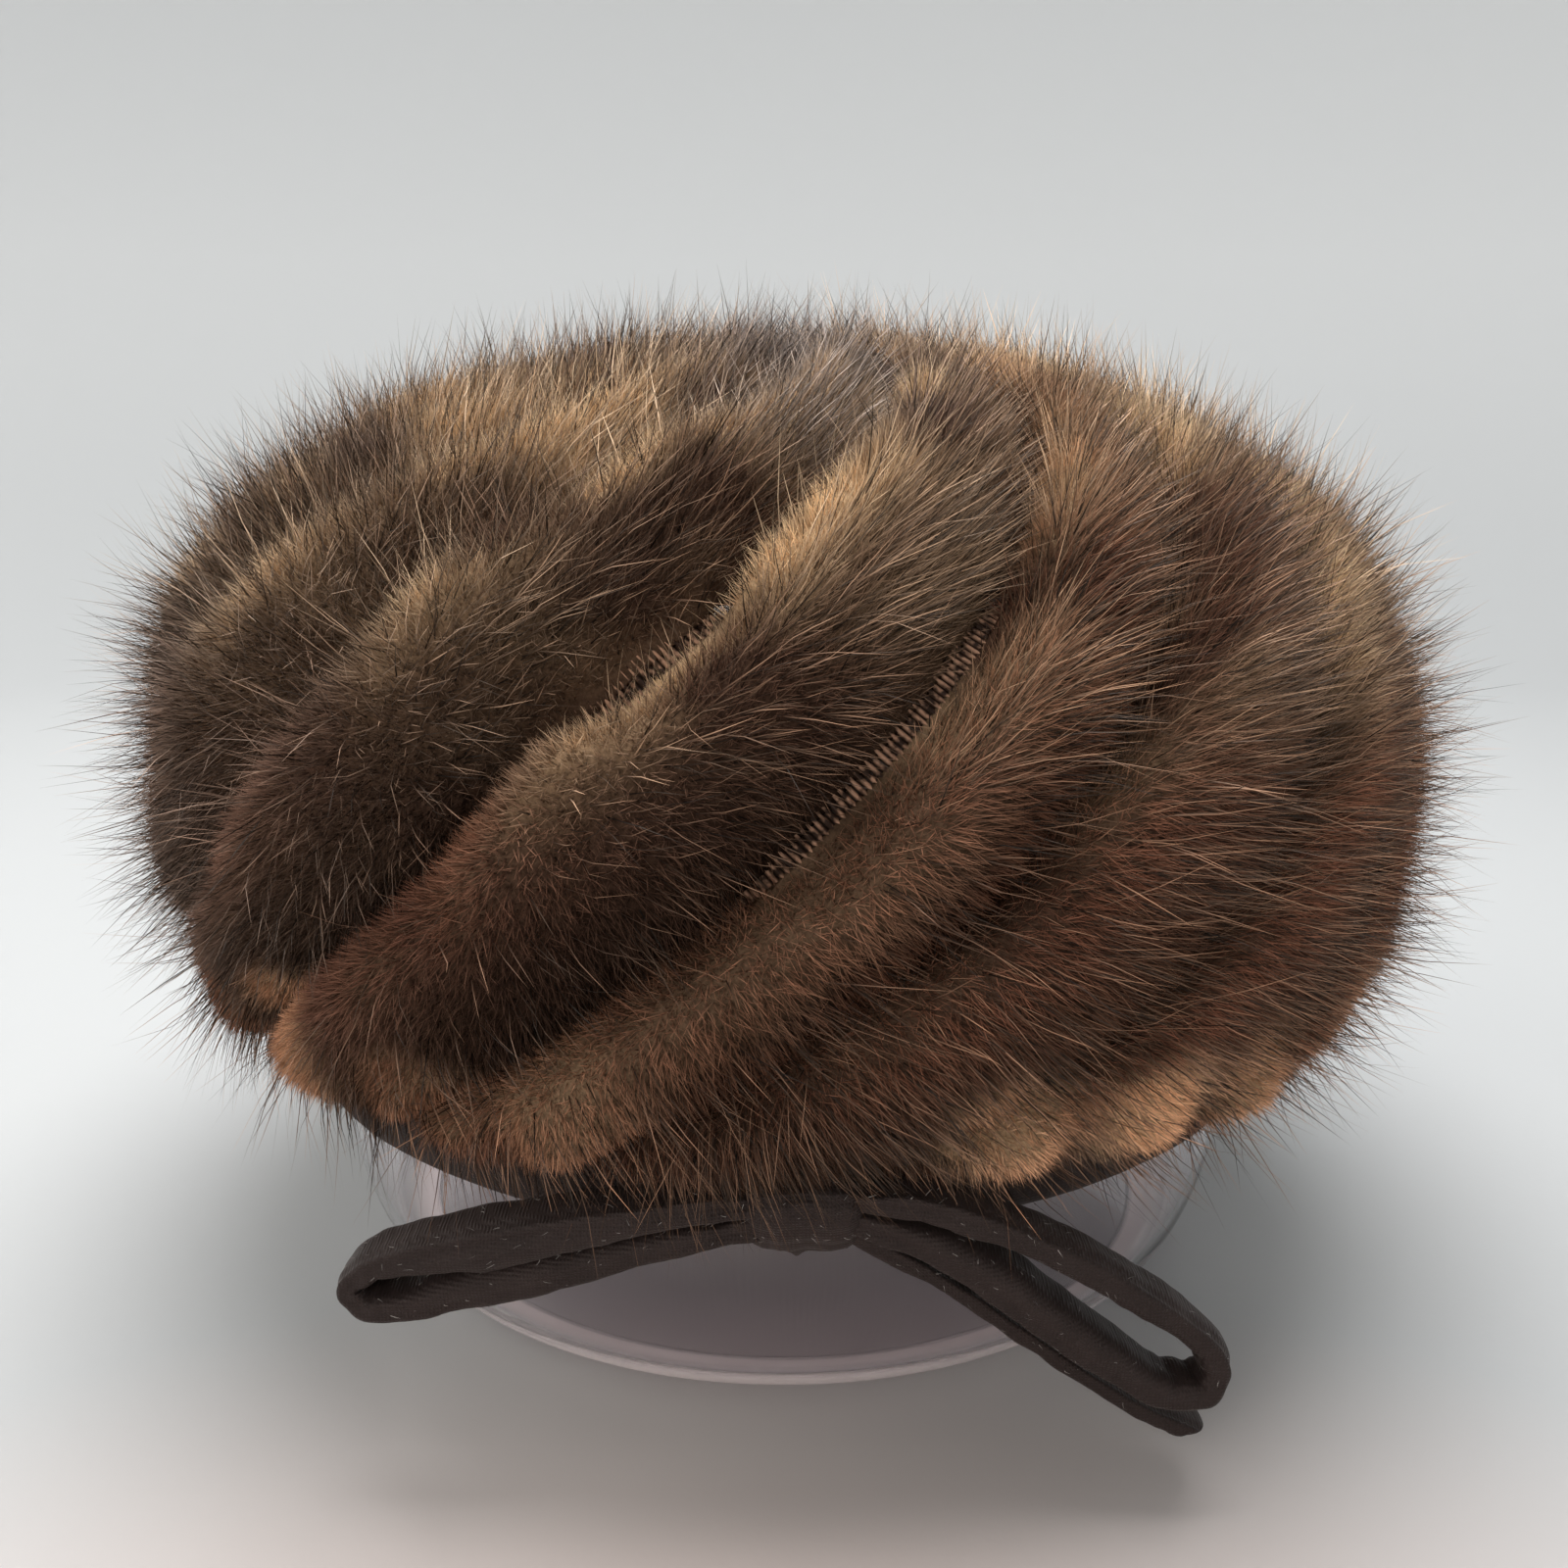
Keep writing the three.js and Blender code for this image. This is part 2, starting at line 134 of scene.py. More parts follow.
# The pelt under the guard hairs: its height across a level strip and across a ridged one
PELT_SHARE = 0.74
PELT_ACROSS = [0.0, 0.06, 0.15, 0.32, 0.5, 0.7, 0.86, 1.0]
PELT_LEVEL = [0.5, 0.86, 0.97, 1.0, 0.98, 0.9, 0.76, 0.55]
PELT_RIDGED = [0.45, 0.9, 1.08, 1.08, 0.95, 0.74, 0.5, 0.3]
PELT_ROWS = 64
PELT_COLUMNS = 21
PELT_UNDER = 3

# Between two strips: the gap down to the backing, and how wide the valleys beside it are,
# in millimetres and at most as a share of the strip
SEAM_HALF_GAP = 1.3
SEAM_GAP_SHARE = 0.12
VALLEY = {"left": 4.5, "left_share": 0.25, "right": 7.0, "right_share": 0.35, "closed": 0.85, "by_pad": 0.7}
LOW_SHOULDER = {"from_z": 108.0, "fade": 28.0, "width": 11.0, "share": 0.4}
SEAM_GAPS = {"spacing": 13.0, "half_width": 7.0, "closed": 0.75, "uneven": 1.6, "seed": 4, "apart": 31.0}
LEVEL_STRIP = {"below": 0.7, "fade": 0.4}
RIDGE_WANDER = 0.12
RIDGE_WANDER_SIZE = 17.0
RIDGE_UNEVEN = 0.22

# Unevenness of the pelt's surface and of its colours, and the least height of hair on it
PELT_LUMP = 1.2
PELT_LUMP_SIZE = 7.0
PELT_LEAST = 0.3
PELT_UNDERSIDE = 0.75
BLOTCH_SIZE = 11.0
WANDER_SIZE = 21.0

# What is added to a strip's number as the seed of each kind of unevenness
STRIP_SEEDS = {"ridge": 20, "height": 60, "blotch": 40, "wander": 80}

# Heights in millimetres at which the fur changes: one end of each change, and how far it goes on
FUR_HEIGHTS = {
    "ridges rise": (70, 34),
    "hem": (66, 14),
    "hair turns up": (60, 80),
    "hair lies less round": (122, 24),
    "hair is shorter": (125, 25),
    "light roots start": (70, 40),
    "velvet starts": (56, 16),
    "velvet ends": (118, 24),
    "upper half": (89, 30),
    "pale edge starts": (98, 26),
    "pale wash starts": (96, 36),
    "pale top": (130, 18),
    "dark below": (104, 32),
}

# Soft underfur pads that show under the guard hairs at the hem, by azimuth
HEM_PADS = [
    {"azimuth": 40.5, "half_width": 9.8, "tan": 0.66, "height": 0.95},
    {"azimuth": 28.5, "half_width": 9.8, "tan": 0.95, "height": 1.0},
    {"azimuth": 16.5, "half_width": 10.2, "tan": 0.68, "height": 1.0},
    {"azimuth": -16.2, "half_width": 12.5, "tan": 0.3, "height": 1.0, "half_length": 14.0, "strip": 4},
    {"azimuth": -30.0, "half_width": 12.5, "tan": 0.22, "height": 0.7},
    {"azimuth": -45.5, "half_width": 12.5, "tan": 0.46, "height": 0.75, "half_length": 13.0},
]
FAR_PADS = {
    "from": 55.0,
    "to": 300.0,
    "step": 12.25,
    "half_width": 11.6,
    "uneven": 1.6,
    "tan": 0.3,
    "uneven_tan": 0.2,
    "height": 0.75,
}
PAD_UP = 9.5
PAD_HALF_LENGTH = 10.5
PAD_HEIGHT = 13.0
PAD_SQUARENESS = 0.6
PAD_EDGE = 1.8

# Where the ribbed ground cloth shows between two strips, by strip number and length, how it
# fades at its ends and sides, and how far it flattens the pelt beside it
BARE_END = 6
BARE_FADE = 2.0
NEAR_BARE_FADE = 10.0
BARE_FLATTENS = {"left": 0.66, "right": 0.4, "bare": 0.92}
BARE_SEAMS = [
    {"strip": 4, "start": 54, "end": 98, "width": 2.6},
    {"strip": 5, "start": 74, "end": 98, "width": 7.5},
    {"strip": 9, "start": 60, "end": 90, "width": 1.2},
    {"strip": 12, "start": 70, "end": 112, "width": 1.6},
    {"strip": 15, "start": 48, "end": 84, "width": 1.2},
]

# Layers of hair: what each is called, its seed, and then the hair layer's own inputs. Density is
# hairs per square metre, and sizes are in metres.
LAYER_INPUTS = (
    "Cover",
    "Nap",
    "Density",
    "Length",
    "Shortest",
    "Width",
    "Segments",
    "Bend",
    "Lean",
    "Clump Size",
    "Clump Pull",
    "Scatter",
)
BY_DOWN = ("down_cover", "down_nap")
BY_GUARD = ("guard_cover", "guard_nap")
FUR_LAYERS = [
    ("underfur", 3, *BY_DOWN, 3.35e6, 0.0058, 0.5, 0.0002, 1, 0.0, 0.45, 0.0022, 0.5, 0.42),
    ("guard hair", 11, *BY_GUARD, 0.5e6, 0.014, 0.5, 0.0002, 2, 0.2, 1.0, 0.0034, 0.42, 0.14),
    ("long hair", 29, *BY_GUARD, 0.15e6, 0.0205, 0.75, 0.00017, 2, 0.25, 0.75, 0.006, 0.6, 0.3),
]

# What is added to a layer's seed for each thing that chance decides about a hair
HAIR_SALTS = {"stray": 40, "turn": 50, "length": 60, "width": 61, "tone": 70}

# How far hairs differ in width, direction and tone, how locks of them differ, and their taper
HAIR_WIDTHS = (0.75, 1.25)
HAIR_TURN = 0.9
HAIR_TONES = (0.9, 0.05)
LOCK_TONES = (2.4, -1.2)
LOCK_SHARE = 0.35
LOCK_DETAIL = 1.5
HAIR_TAPER = 0.6

# Colours of the fur, from root to tip
PELT_COLOURS = {
    "pale by": "pale",
    "root": (0.078, 0.044, 0.03),
    "tip": (0.078, 0.044, 0.03),
    "pale root": (0.5, 0.34, 0.2),
    "pale tip": (0.5, 0.34, 0.2),
    "warm tip": (0.5, 0.3, 0.17),
    "red tip": (0.14, 0.06, 0.036),
    "grey tip": (0.2, 0.17, 0.16),
}
DOWN_COLOURS = {
    "pale by": "pale",
    "root": (0.086, 0.05, 0.037),
    "tip": (0.225, 0.133, 0.092),
    "pale root": (0.72, 0.5, 0.31),
    "pale tip": (1.0, 0.78, 0.51),
    "warm tip": (0.95, 0.53, 0.31),
    "red tip": (0.35, 0.144, 0.087),
    "grey tip": (0.3, 0.267, 0.257),
}
GUARD_COLOURS = {
    "pale by": "light_guard",
    "root": (0.027, 0.0175, 0.0142),
    "tip": (0.29, 0.17, 0.106),
    "pale root": (0.22, 0.15, 0.098),
    "pale tip": (0.7, 0.52, 0.34),
    "warm tip": (0.66, 0.42, 0.25),
    "red tip": (0.31, 0.164, 0.096),
    "grey tip": (0.36, 0.323, 0.315),
}

# How rough and shiny each kind of fur is, how fast it turns from its root's colour to its tip's,
# and how dark its darkest hairs are and how far the lighter ones go past that
FINISH_WORDS = ("roughness", "specular", "from_root", "darkest_tone", "tone_span")
PELT_FINISH = dict(zip(FINISH_WORDS, (0.9, 0.0, 1.0, 0.9, 0.4)))
DOWN_FINISH = dict(zip(FINISH_WORDS, (0.9, 0.0, 0.8, 0.72, 0.85)))
GUARD_FINISH = dict(zip(FINISH_WORDS, (0.45, 0.23, 1.2, 0.1, 2.8)))
FUR_SHINE = (1.0, 0.92, 0.85)
# How far the painted shade darkens the fur at most
DEEPEST_PAINTED_SHADE = 0.72
PLUSH = {"scale": 1500.0, "strength": 0.7, "distance": 0.0006, "darkest": 0.3, "span": 1.3}

# Painted sheen: greyish hair on the front and in the middle of the flat top, in millimetres from the middle
FRONT_TOP_PAINTED_SHEEN = {"x": 2.0, "y": 4.0, "half_width": 17.0, "fade": 20.0, "share": 0.85}
MIDDLE_TOP_PAINTED_SHEEN = {"radius": 24, "fade": 18}
TOP_PAINTED_SHEEN_EDGE = {"radius": 76, "fade": 16}

# The hat's left side is a little greyer and paler all over
GREY_SIDE = {"azimuth": -72.0, "spread": 34.0, "share": 0.42, "pale": 0.1}

# Light underfur, its own colour with painted light from above on it: its patches, how it frays beside
# a left seam, its wash over the upper half and the top, and how much of it the guard hair takes up
PALE = {
    "patch": 0.75,
    "patch_wander": 1.7,
    "patch_blotch": 0.9,
    "patch_most": 1.9,
    "edge_width": 0.5,
    "edge_blotch": 0.14,
    "edge_wander": 0.1,
    "edge_power": 0.8,
    "edge_low": 0.04,
    "wash": 0.16,
    "blotch": 0.06,
    "top": 0.42,
    "top_power": 1.5,
    "guard": 0.9,
}

# Painted shade: on a strip's far side, in the gullies beside its seams, under its ridge and in gaps
PAINTED_SHADE = {
    "far_from": 0.3,
    "far_fade": 0.45,
    "ridge_fade": 0.05,
    "blotch": 0.1,
    "far": 0.8,
    "less_above": 0.6,
    "gully": 0.6,
    "under_ridge": 0.45,
    "gap": 0.9,
}
FAR_GULLY = (0.82, 0.14)
NEAR_GULLY = (0.05, 0.04)
RED = {"width": 0.7, "base": 0.35, "blotch": 0.3, "by_bow": 0.8, "velvet": 0.38}
VELVET = {"most": 0.95, "end": 0.86, "fade": 0.3, "by_ridge": 0.62, "at_hem": 0.25}

# How thickly the hair stands: what each kind of place takes from the guard hair, and what it
# adds to the underfur
COVER = {
    "bare": 0.95,
    "light_width": 0.36,
    "light": 0.62,
    "pad": 0.97,
    "pad_by_bow": 0.4,
    "tan": 2.2,
    "least_tan": 0.3,
    "gap": 0.6,
    "down_pad": 0.35,
    "down_velvet": 0.3,
}

# How much shorter the hair is by a ridge's two seams, at the top, beside bare cloth and over the
# bow, and the underfur on pads and at seams
NAP = {
    "ridge": 0.4,
    "left_width": 0.2,
    "right_from": 0.68,
    "right_width": 0.3,
    "top": 0.2,
    "bare": 0.45,
    "bow": 0.22,
    "down_pad": 0.4,
    "down_at_seam": 0.75,
    "down_off_seam": 0.25,
    "down_bare": 0.3,
}

# How the hair leans across a strip: from its left seam over to the right, less on a far ridge
# and beside bare cloth, and how it changes at the hem, at the top and over the bow
LEAN = {
    "start": 0.45,
    "full_at": 0.5,
    "ridge": 0.6,
    "ridge_from": 0.72,
    "ridge_width": 0.22,
    "bare": 0.9,
    "wander": 0.3,
    "hem": 0.15,
    "top": 0.45,
    "bow": 0.35,
    "by_pelt": 0.55,
    "by_crown": 0.45,
}
RIDGE_AT_HEM = 0.4
RIDGE_ABOVE = 0.6

# Which way the hair is combed: round the hat, up it, and down over the knot of the bow
COMB_ROUND = 0.8
COMB_UP_AT_TOP = 0.3
COMB_UP_AT_HEM = -0.3
BOW_COMB = {"azimuth": 2, "spread": 14, "top_z": 76, "foot_z": 58, "down": 1.0}

# Crown cloth, rim band and the ribs of the ground cloth
CLOTH_FACETS = 120
CROWN_ROWS = 30
RIB_PITCH = 1.1
RIB_WAVES = 1 / 6.283
BAND_BOTTOM_Z = 36.6
BAND_TOP_Z = 49.5
BAND_WALL = 1.3
BAND_ROWS = 8
BAND_EDGE = {"up": 0.4, "in": 0.25, "out": 0.3, "rise": 0.06}
BAND_SLACK = {"size": 9.0, "height": 0.25, "seed": 3}
SEAT_GAP = 0.35
# The ground cloth's rib gullies are painted shade and its crests a painted highlight
GROUND_CLOTH = {"gully": (0.01, 0.006, 0.0045), "crest": (0.03, 0.017, 0.012), "patch_scale": 60.0}
GROUND_FINISH = {"Roughness": 0.45, "Sheen Weight": 0.2}
# The seam ribs: their own dark colour, and the painted highlight and glints along their crests
SATIN_RIB = {"dark": (0.026, 0.014, 0.0095), "lit": (0.5, 0.29, 0.19), "fleck_scale": 700.0}
SATIN_FINISH = {"Roughness": 0.45, "Specular IOR Level": 0.15, "Specular Tint": (1.0, 0.85, 0.75)}
SEAM_RIB_STEP = 0.25
SEAM_RIB = {"pitch": 1.02, "length": 8.0, "radius": 0.46, "height": 0.4, "beyond": 8, "sides": 6}

# Clear bowl
STAND_BASE_RADIUS = 74
STAND_RADIUS = 86.8
STAND_ROUND_HEIGHT = 36
STAND_ROUND_EXPONENT = 1.9
STAND_WALL = 1.8
STAND_TOP_Z = 129.0
STAND_FACETS = 160
STAND_ROUND_STEPS = 22
STAND_FLAT_RADIUS = 40.0
STAND_WALL_Z = (60.0, 95.0)
STAND_LIP = {"depth": 0.7, "rounding": 0.5, "edge": 0.1}
STAND_FOOT = {"extra": 1.6, "height": 4.0, "clear": 0.3}
CLEAR_FINISH = {
    "Base Color": (0.97, 0.95, 0.965),
    "Transmission Weight": 1.0,
    "Roughness": 0.02,
    "IOR": 1.45,
}
CLEAR_SHADOW = (0.93, 0.9, 0.91, 1)
# Painted light at the bowl's foot: a pale pinkish glow and a dark inner line that stand in for the light
# refracted in its thick rim
FOOT_PAINTED_GLOW = {"Base Color": (1.0, 0.9, 0.9, 1), "Roughness": 0.25}
FOOT_PAINTED_EDGE_LINE = {"Base Color": (0.1, 0.08, 0.09, 1), "Roughness": 0.3}
FOOT_BAND = {"height": 5.5, "inner_radius": 70.2, "sharpness": 900.0, "line_sharpness": 2400.0}

# Bow: centre lines in millimetres, as in the model. Each row is x, y and z, the share of the
# full section there, and how far the loop's inner side swells out.
LEFT_LOOP = [
    (-3.4, -101.2, 48.2, 0.6, 1.0),
    (-13, -102, 48.4, 0.9, 0.9),
    (-23, -102.3, 47.2, 1, 1.4),
    (-33, -102.3, 45.6, 1, 2.5),
    (-42, -102.3, 43.9, 1, 3.1),
    (-51, -102, 41.6, 1, 1.3),
    (-57.6, -102, 39, 0.95, 0.2),
    (-60, -102, 36, 0.9, 0.1),
    (-57.6, -102, 33.6, 0.95, 0.1),
    (-51, -101.6, 33.6, 1, 0.8),
    (-42, -101, 35.4, 1, 2.4),
    (-33, -101, 37.4, 1, 1.9),
    (-23, -100.8, 40.2, 0.95, 1.4),
    (-13, -100.6, 42.8, 0.85, 0.9),
    (-3.4, -100, 43.9, 0.62, 1.0),
]
RIGHT_LOOP = [
    (8.6, -101, 48.6, 0.6, 0),
    (20, -102, 48.6, 0.9, 0.8),
    (30, -102.5, 45.4, 1, 0.3),
    (39, -102.5, 41.2, 1, 0.4),
    (48, -102.5, 35.8, 1, 0.4),
    (55.5, -102.5, 30.4, 0.95, 0),
    (60.2, -102.5, 25.2, 0.9, 0),
    (59.6, -102.5, 20.6, 0.9, 0),
    (54, -102.5, 20, 1, 0),
    (46, -102.5, 24, 1, 1.6),
    (37, -102.5, 30.4, 1, 2.2),
    (28, -102, 37.2, 1, 2.0),
    (19, -101.4, 42.4, 0.9, 1.2),
    (8.6, -100.4, 45.6, 0.62, 0),
]
TAIL = [
    (8.8, -98.8, 42.4, 0.62, 0),
    (18, -97, 37, 0.9, 0),
    (26, -96.5, 31.6, 1, 0),
    (35, -96, 24.6, 1, 0),
    (44, -96, 18, 1, 0),
    (52, -96, 12.8, 1, 0),
    (58.4, -96, 9.6, 1, 0),
]
# outer is the side of the line that lies outwards, lint the seed of the loose fibres on the tube
TUBE_WORDS = ("name", "line", "thickness", "outer", "slant", "steps", "lint")
TUBE_TABLE = [
    ("bow_loop_left", LEFT_LOOP, 4.8, -1, 0, 150, 150),
    ("bow_loop_right", RIGHT_LOOP, 4.8, 1, 0, 160, 160),
    ("bow_tail", TAIL, 3.4, 1, 3, 80, 80),
]
BOW_TUBES = [dict(zip(TUBE_WORDS, row)) for row in TUBE_TABLE]
TUBE_WIDTH = 9.2
TUBE_POINTS = 34
TUBE_SQUARENESS = 2.5
TUBE_SEAM = {"turn": 0.5, "height": 0.34, "width": 0.16}
TUBE_GROOVES = {"depth": 0.26, "from_seam": 0.42, "width": 0.2}
TUBE_SAG = {"depth": 0.55, "width": 0.55, "size": 16.0, "seed": 2, "least": 0.6, "uneven": 0.8}
TUBE_CREASES = {
    "spacing": 0.62,
    "height": 0.24,
    "full_bend": 0.16,
    "wave": 1.3,
    "outside": 0.4,
    "inside": 0.6,
}
TUBE_GATHERS = {"round": 5, "twist": 0.12, "height": 0.3, "below": 0.97, "fade": 0.2}
TUBE_SLANT = (0.94, 0.06)
TUBE_RUMPLE = [
    {"height": 0.34, "size": 5.5, "seed": 5},
    {"height": 0.16, "size": 2.4, "seed": 9},
]

# Each section of the knot is x, then its shares of the full depth and height
KNOT_SECTIONS = [
    (-5.6, 0.3, 0.52),
    (-4.6, 0.66, 0.78),
    (-3.0, 0.88, 0.92),
    (-0.5, 1, 0.98),
    (3, 0.93, 0.94),
    (6.5, 1, 0.98),
    (8.9, 0.84, 0.9),
    (10.2, 0.6, 0.74),
    (11.0, 0.3, 0.5),
]
KNOT_CENTRE_Y = -100.5
KNOT_CENTRE_Z = 45.2
KNOT_HALF_DEPTH = 5
KNOT_HALF_HEIGHT = 6.8
KNOT_LEAN = 0.42
KNOT_PLEATS = 7
KNOT_STEPS = 40
KNOT_POINTS = 64
KNOT_PLEAT_DEPTH = 0.06
KNOT_LUMP = {"height": 0.3, "size": 4.0, "seed": 8}
KNOT_NUB = {"x": 1.8, "half_width": 1.1, "drop": 1.5, "sharpness": 6}

BAND_CLOTH = {
    "colour": (0.012, 0.0082, 0.0074),
    "fleck": (0.03, 0.02, 0.018),
    "weave_scale": 400.0,
    "relief": 0.3,
    "roughness": 0.8,
}
BOW_CLOTH = {
    "colour": (0.007, 0.0047, 0.0043),
    "fleck": (0.035, 0.0238, 0.0218),
    "weave_scale": 620.0,
    "relief": 0.7,
    "roughness": 0.6,
}

# Loose pale fibres on the bow, and the short dark nap of the band
LINT_COLOUR = (0.5, 0.46, 0.43)
NAP_COLOUR = (0.03, 0.021, 0.019)
LINT_LAYERS = [
    ("lint", 5, *BY_GUARD, 0.1e6, 0.0013, 0.3, 0.00007, 3, 0.7, 1.0, 0.004, 1.5, 0.8),
]
BAND_LAYERS = [
    ("nap", 5, *BY_GUARD, 0.22e6, 0.0013, 0.4, 0.00009, 2, 0.5, 0.7, 0.002, 1.2, 0.7),
]


def smooth(value):
    """A soft step from 0 to 1."""
    value = np.clip(value, 0, 1)
    return value * value * (3 - 2 * value)


def rise(value, start, span):
    """A soft step up, from 0 at the start to 1 a span after it."""
    return smooth((value - start) / span)


def fall(value, end, span):
    """A soft step down, from 1 a span before the end to 0 at it."""
    return smooth((end - value) / span)


def crown_meridian():
    """The crown's outline from the rim to the top, by its length."""
    angle = np.radians(np.linspace(-90, 90, MERIDIAN_SAMPLES + 1))
    up = angle >= 0
    power = np.where(up, 2 / CROWN["rise_exponent"], 2 / CROWN["drop_exponent"])
    radius = CROWN["radius"] * np.abs(np.cos(angle)) ** power
    reach = np.where(up, CROWN["rise"], -CROWN["drop"]) * np.abs(np.sin(angle)) ** power
    z = CROWN["equator_z"] + reach
    kept = z >= RIM_Z
    radius, z = radius[kept], z[kept]
    step = np.hypot(np.diff(radius), np.diff(z))
    length = np.concatenate([[0], np.cumsum(step)])
    along_r = np.gradient(radius, length)
    along_z = np.gradient(z, length)
    size = np.hypot(along_r, along_z)
    return {
        "length": length,
        "radius": radius,
        "z": z,
        "along_r": along_r / size,
        "along_z": along_z / size,
        "total": length[-1],
    }


MERIDIAN = crown_meridian()


def read_meridian(length):
    """Radius, z and the direction up the crown, at a length from the rim."""
    names = ("radius", "z", "along_r", "along_z")
    return [np.interp(length, MERIDIAN["length"], MERIDIAN[name]) for name in names]


def length_at_z(z):
    return MERIDIAN["length"][np.argmax(MERIDIAN["z"] >= z)]


def length_at_radius(radius):
    return MERIDIAN["length"][len(MERIDIAN["radius"]) - 1 - np.argmax(MERIDIAN["radius"][::-1] >= radius)]


EQUATOR_LENGTH = length_at_z(CROWN["equator_z"])
HEM_LENGTH = length_at_z(STRIP_HEM_Z)
TOP_LENGTH = length_at_radius(STRIP_END_RADIUS)


def over_crown(azimuth, length, height, droop=0.0):
    """A point off the crown's surface, by azimuth, length and height over it."""
    radius, z, along_r, along_z = read_meridian(length)
    reach = radius + along_z * height - along_r * droop
    level = z - along_r * height - along_z * droop
    return np.stack([reach * np.sin(azimuth), -reach * np.cos(azimuth), level], axis=-1)


def crown_axes(azimuth, length):
    """The directions outwards, round and up the crown at a place on it."""
    _, _, along_r, along_z = read_meridian(length)
    sine, cosine = np.sin(azimuth), np.cos(azimuth)
    outwards = np.stack([along_z * sine, -along_z * cosine, -along_r], axis=-1)
    upwards = np.stack([along_r * sine, -along_r * cosine, along_z], axis=-1)
    around = np.stack([cosine, sine, np.zeros_like(sine)], axis=-1)
    return outwards, around, upwards


def swirl(length):
    """How far a seam has turned from its azimuth at the widest height, in radians."""
    below = EQUATOR_LENGTH - length
    turned = np.where(below < 0, -below * SWIRL_ABOVE, -below * SWIRL_BELOW - below**2 * HEM_SWEEP)
    return np.radians(turned)


def seam_azimuth(number, length):
    """The azimuth of a strip's left seam at a length. Strips are counted from 1."""
    row = STRIPS[(number - 1) % len(STRIPS)]
    bend = row["hem_turn"] * smooth(1 - (length - HEM_LENGTH) / HEM_UP[-1])
    return np.radians(row["seam"] + bend) + swirl(length)


def strip_sides(number, length):
    """The azimuths of a strip's left and right seams."""
    left = seam_azimuth(number, length)
    right = seam_azimuth(number - 1 or len(STRIPS), length)
    return left, np.where(right > left, right, right + 2 * math.pi)


def bow_lift(azimuth):
    """1 at the front, where the fur's hem is lifted over the bow."""
    away = np.degrees(azimuth) - BOW_LIFT["azimuth"]
    return np.exp(-np.abs(away / BOW_LIFT["spread"]) ** BOW_LIFT["squareness"])


def lumps(points, size, seed):
    """Smooth noise from -1 to 1 at points in millimetres."""
    shift = Vector((seed * 17.3, seed * 5.1, seed * 9.7))
    flat = points.reshape(-1, 3)
    values = [noise.noise(Vector(point) / size + shift) for point in flat]
    return np.array(values).reshape(points.shape[:-1])


def unit(vectors):
    return vectors / np.maximum(np.linalg.norm(vectors, axis=-1, keepdims=True), 1e-9)


def new_object(name, mesh):
    made = bpy.data.objects.new(name, mesh)
    bpy.context.scene.collection.objects.link(made)
    return made


def mesh_object(name, points, faces, material):
    """A smooth-shaded object from points in millimetres."""
    mesh = bpy.data.meshes.new(name)
    mesh.from_pydata((np.asarray(points) * MM).tolist(), [], faces)
    mesh.materials.append(material)
    mesh.shade_smooth()
    mesh.update()
    return new_object(name, mesh)


def turned_outwards(points, faces):
    """The faces of a closed skin, all turned round where they enclose less than nothing."""
    first, second, third = (points[[face[k] for face in faces]] for k in range(3))
    if np.einsum("ij,ij->i", first, np.cross(second, third)).sum() < 0:
        faces = [face[::-1] for face in faces]
    return faces


def loft_faces(rings, columns, first=0):
    """Faces of an open skin over rings of equally many points."""
    faces = []
    for k in range(rings - 1):
        for j in range(columns):
            after = (j + 1) % columns
            low, high = first + k * columns, first + (k + 1) * columns
            faces.append((low + j, low + after, high + after, high + j))
    return faces


def closed_loft(rings):
    """Points and outward faces of a solid through rings, with its two ends closed."""
    count, columns, _ = rings.shape
    points = rings.reshape(-1, 3)
    ends = np.stack([rings[0].mean(axis=0), rings[-1].mean(axis=0)])
    points = np.concatenate([points, ends])
    faces = loft_faces(count, columns)
    start, finish = count * columns, count * columns + 1
    last = (count - 1) * columns
    for j in range(columns):
        after = (j + 1) % columns
        faces.append((start, after, j))
        faces.append((finish, last + j, last + after))
    return points, turned_outwards(points, faces)


def turned_profile(profile, facets):
    """Points and faces of a closed (radius, z) profile turned round the Z axis."""
    profile = np.asarray(profile, float)
    angle = np.linspace(0, 2 * math.pi, facets, endpoint=False)
    points, index = [], []
    for radius, z in profile:
        if radius < 1e-6:
            index.append([len(points)] * facets)
            points.append((0.0, 0.0, z))
        else:
            index.append(list(range(len(points), len(points) + facets)))
            points.extend((radius * math.sin(a), -radius * math.cos(a), z) for a in angle)
    faces = []
    for low, high in zip(index, index[1:] + index[:1]):
        if low[0] == low[1] and high[0] == high[1]:
            continue
        for j in range(facets):
            after = (j + 1) % facets
            corners = [low[j], low[after], high[after], high[j]]
            kept = [c for n, c in enumerate(corners) if c != corners[n - 1]]
            faces.append(tuple(kept))
    points = np.array(points)
    return points, turned_outwards(points, faces)


def set_input(tree, socket, value):
    """Links a socket to another one, or sets its own value."""
    if isinstance(value, bpy.types.NodeSocket):
        tree.links.new(value, socket)
    else:
        socket.default_value = value


def add_node(tree, kind, inputs=None, **settings):
    """A node with its settings, its inputs linked or set by name or place."""
    node = tree.nodes.new(kind)
    for name, value in settings.items():
        setattr(node, name, value)
    for name, value in (inputs or {}).items():
        set_input(tree, node.inputs[name], value)
    return node


def maths(tree, operation, *values, clamp=False):
    node = add_node(tree, "ShaderNodeMath", dict(enumerate(values)), operation=operation, use_clamp=clamp)
    return node.outputs[0]


def vector_maths(tree, operation, *values):
    return add_node(tree, "ShaderNodeVectorMath", dict(enumerate(values)), operation=operation).outputs[0]


def scaled(tree, vector, scale):
    return add_node(tree, "ShaderNodeVectorMath", {0: vector, "Scale": scale}, operation="SCALE").outputs[0]


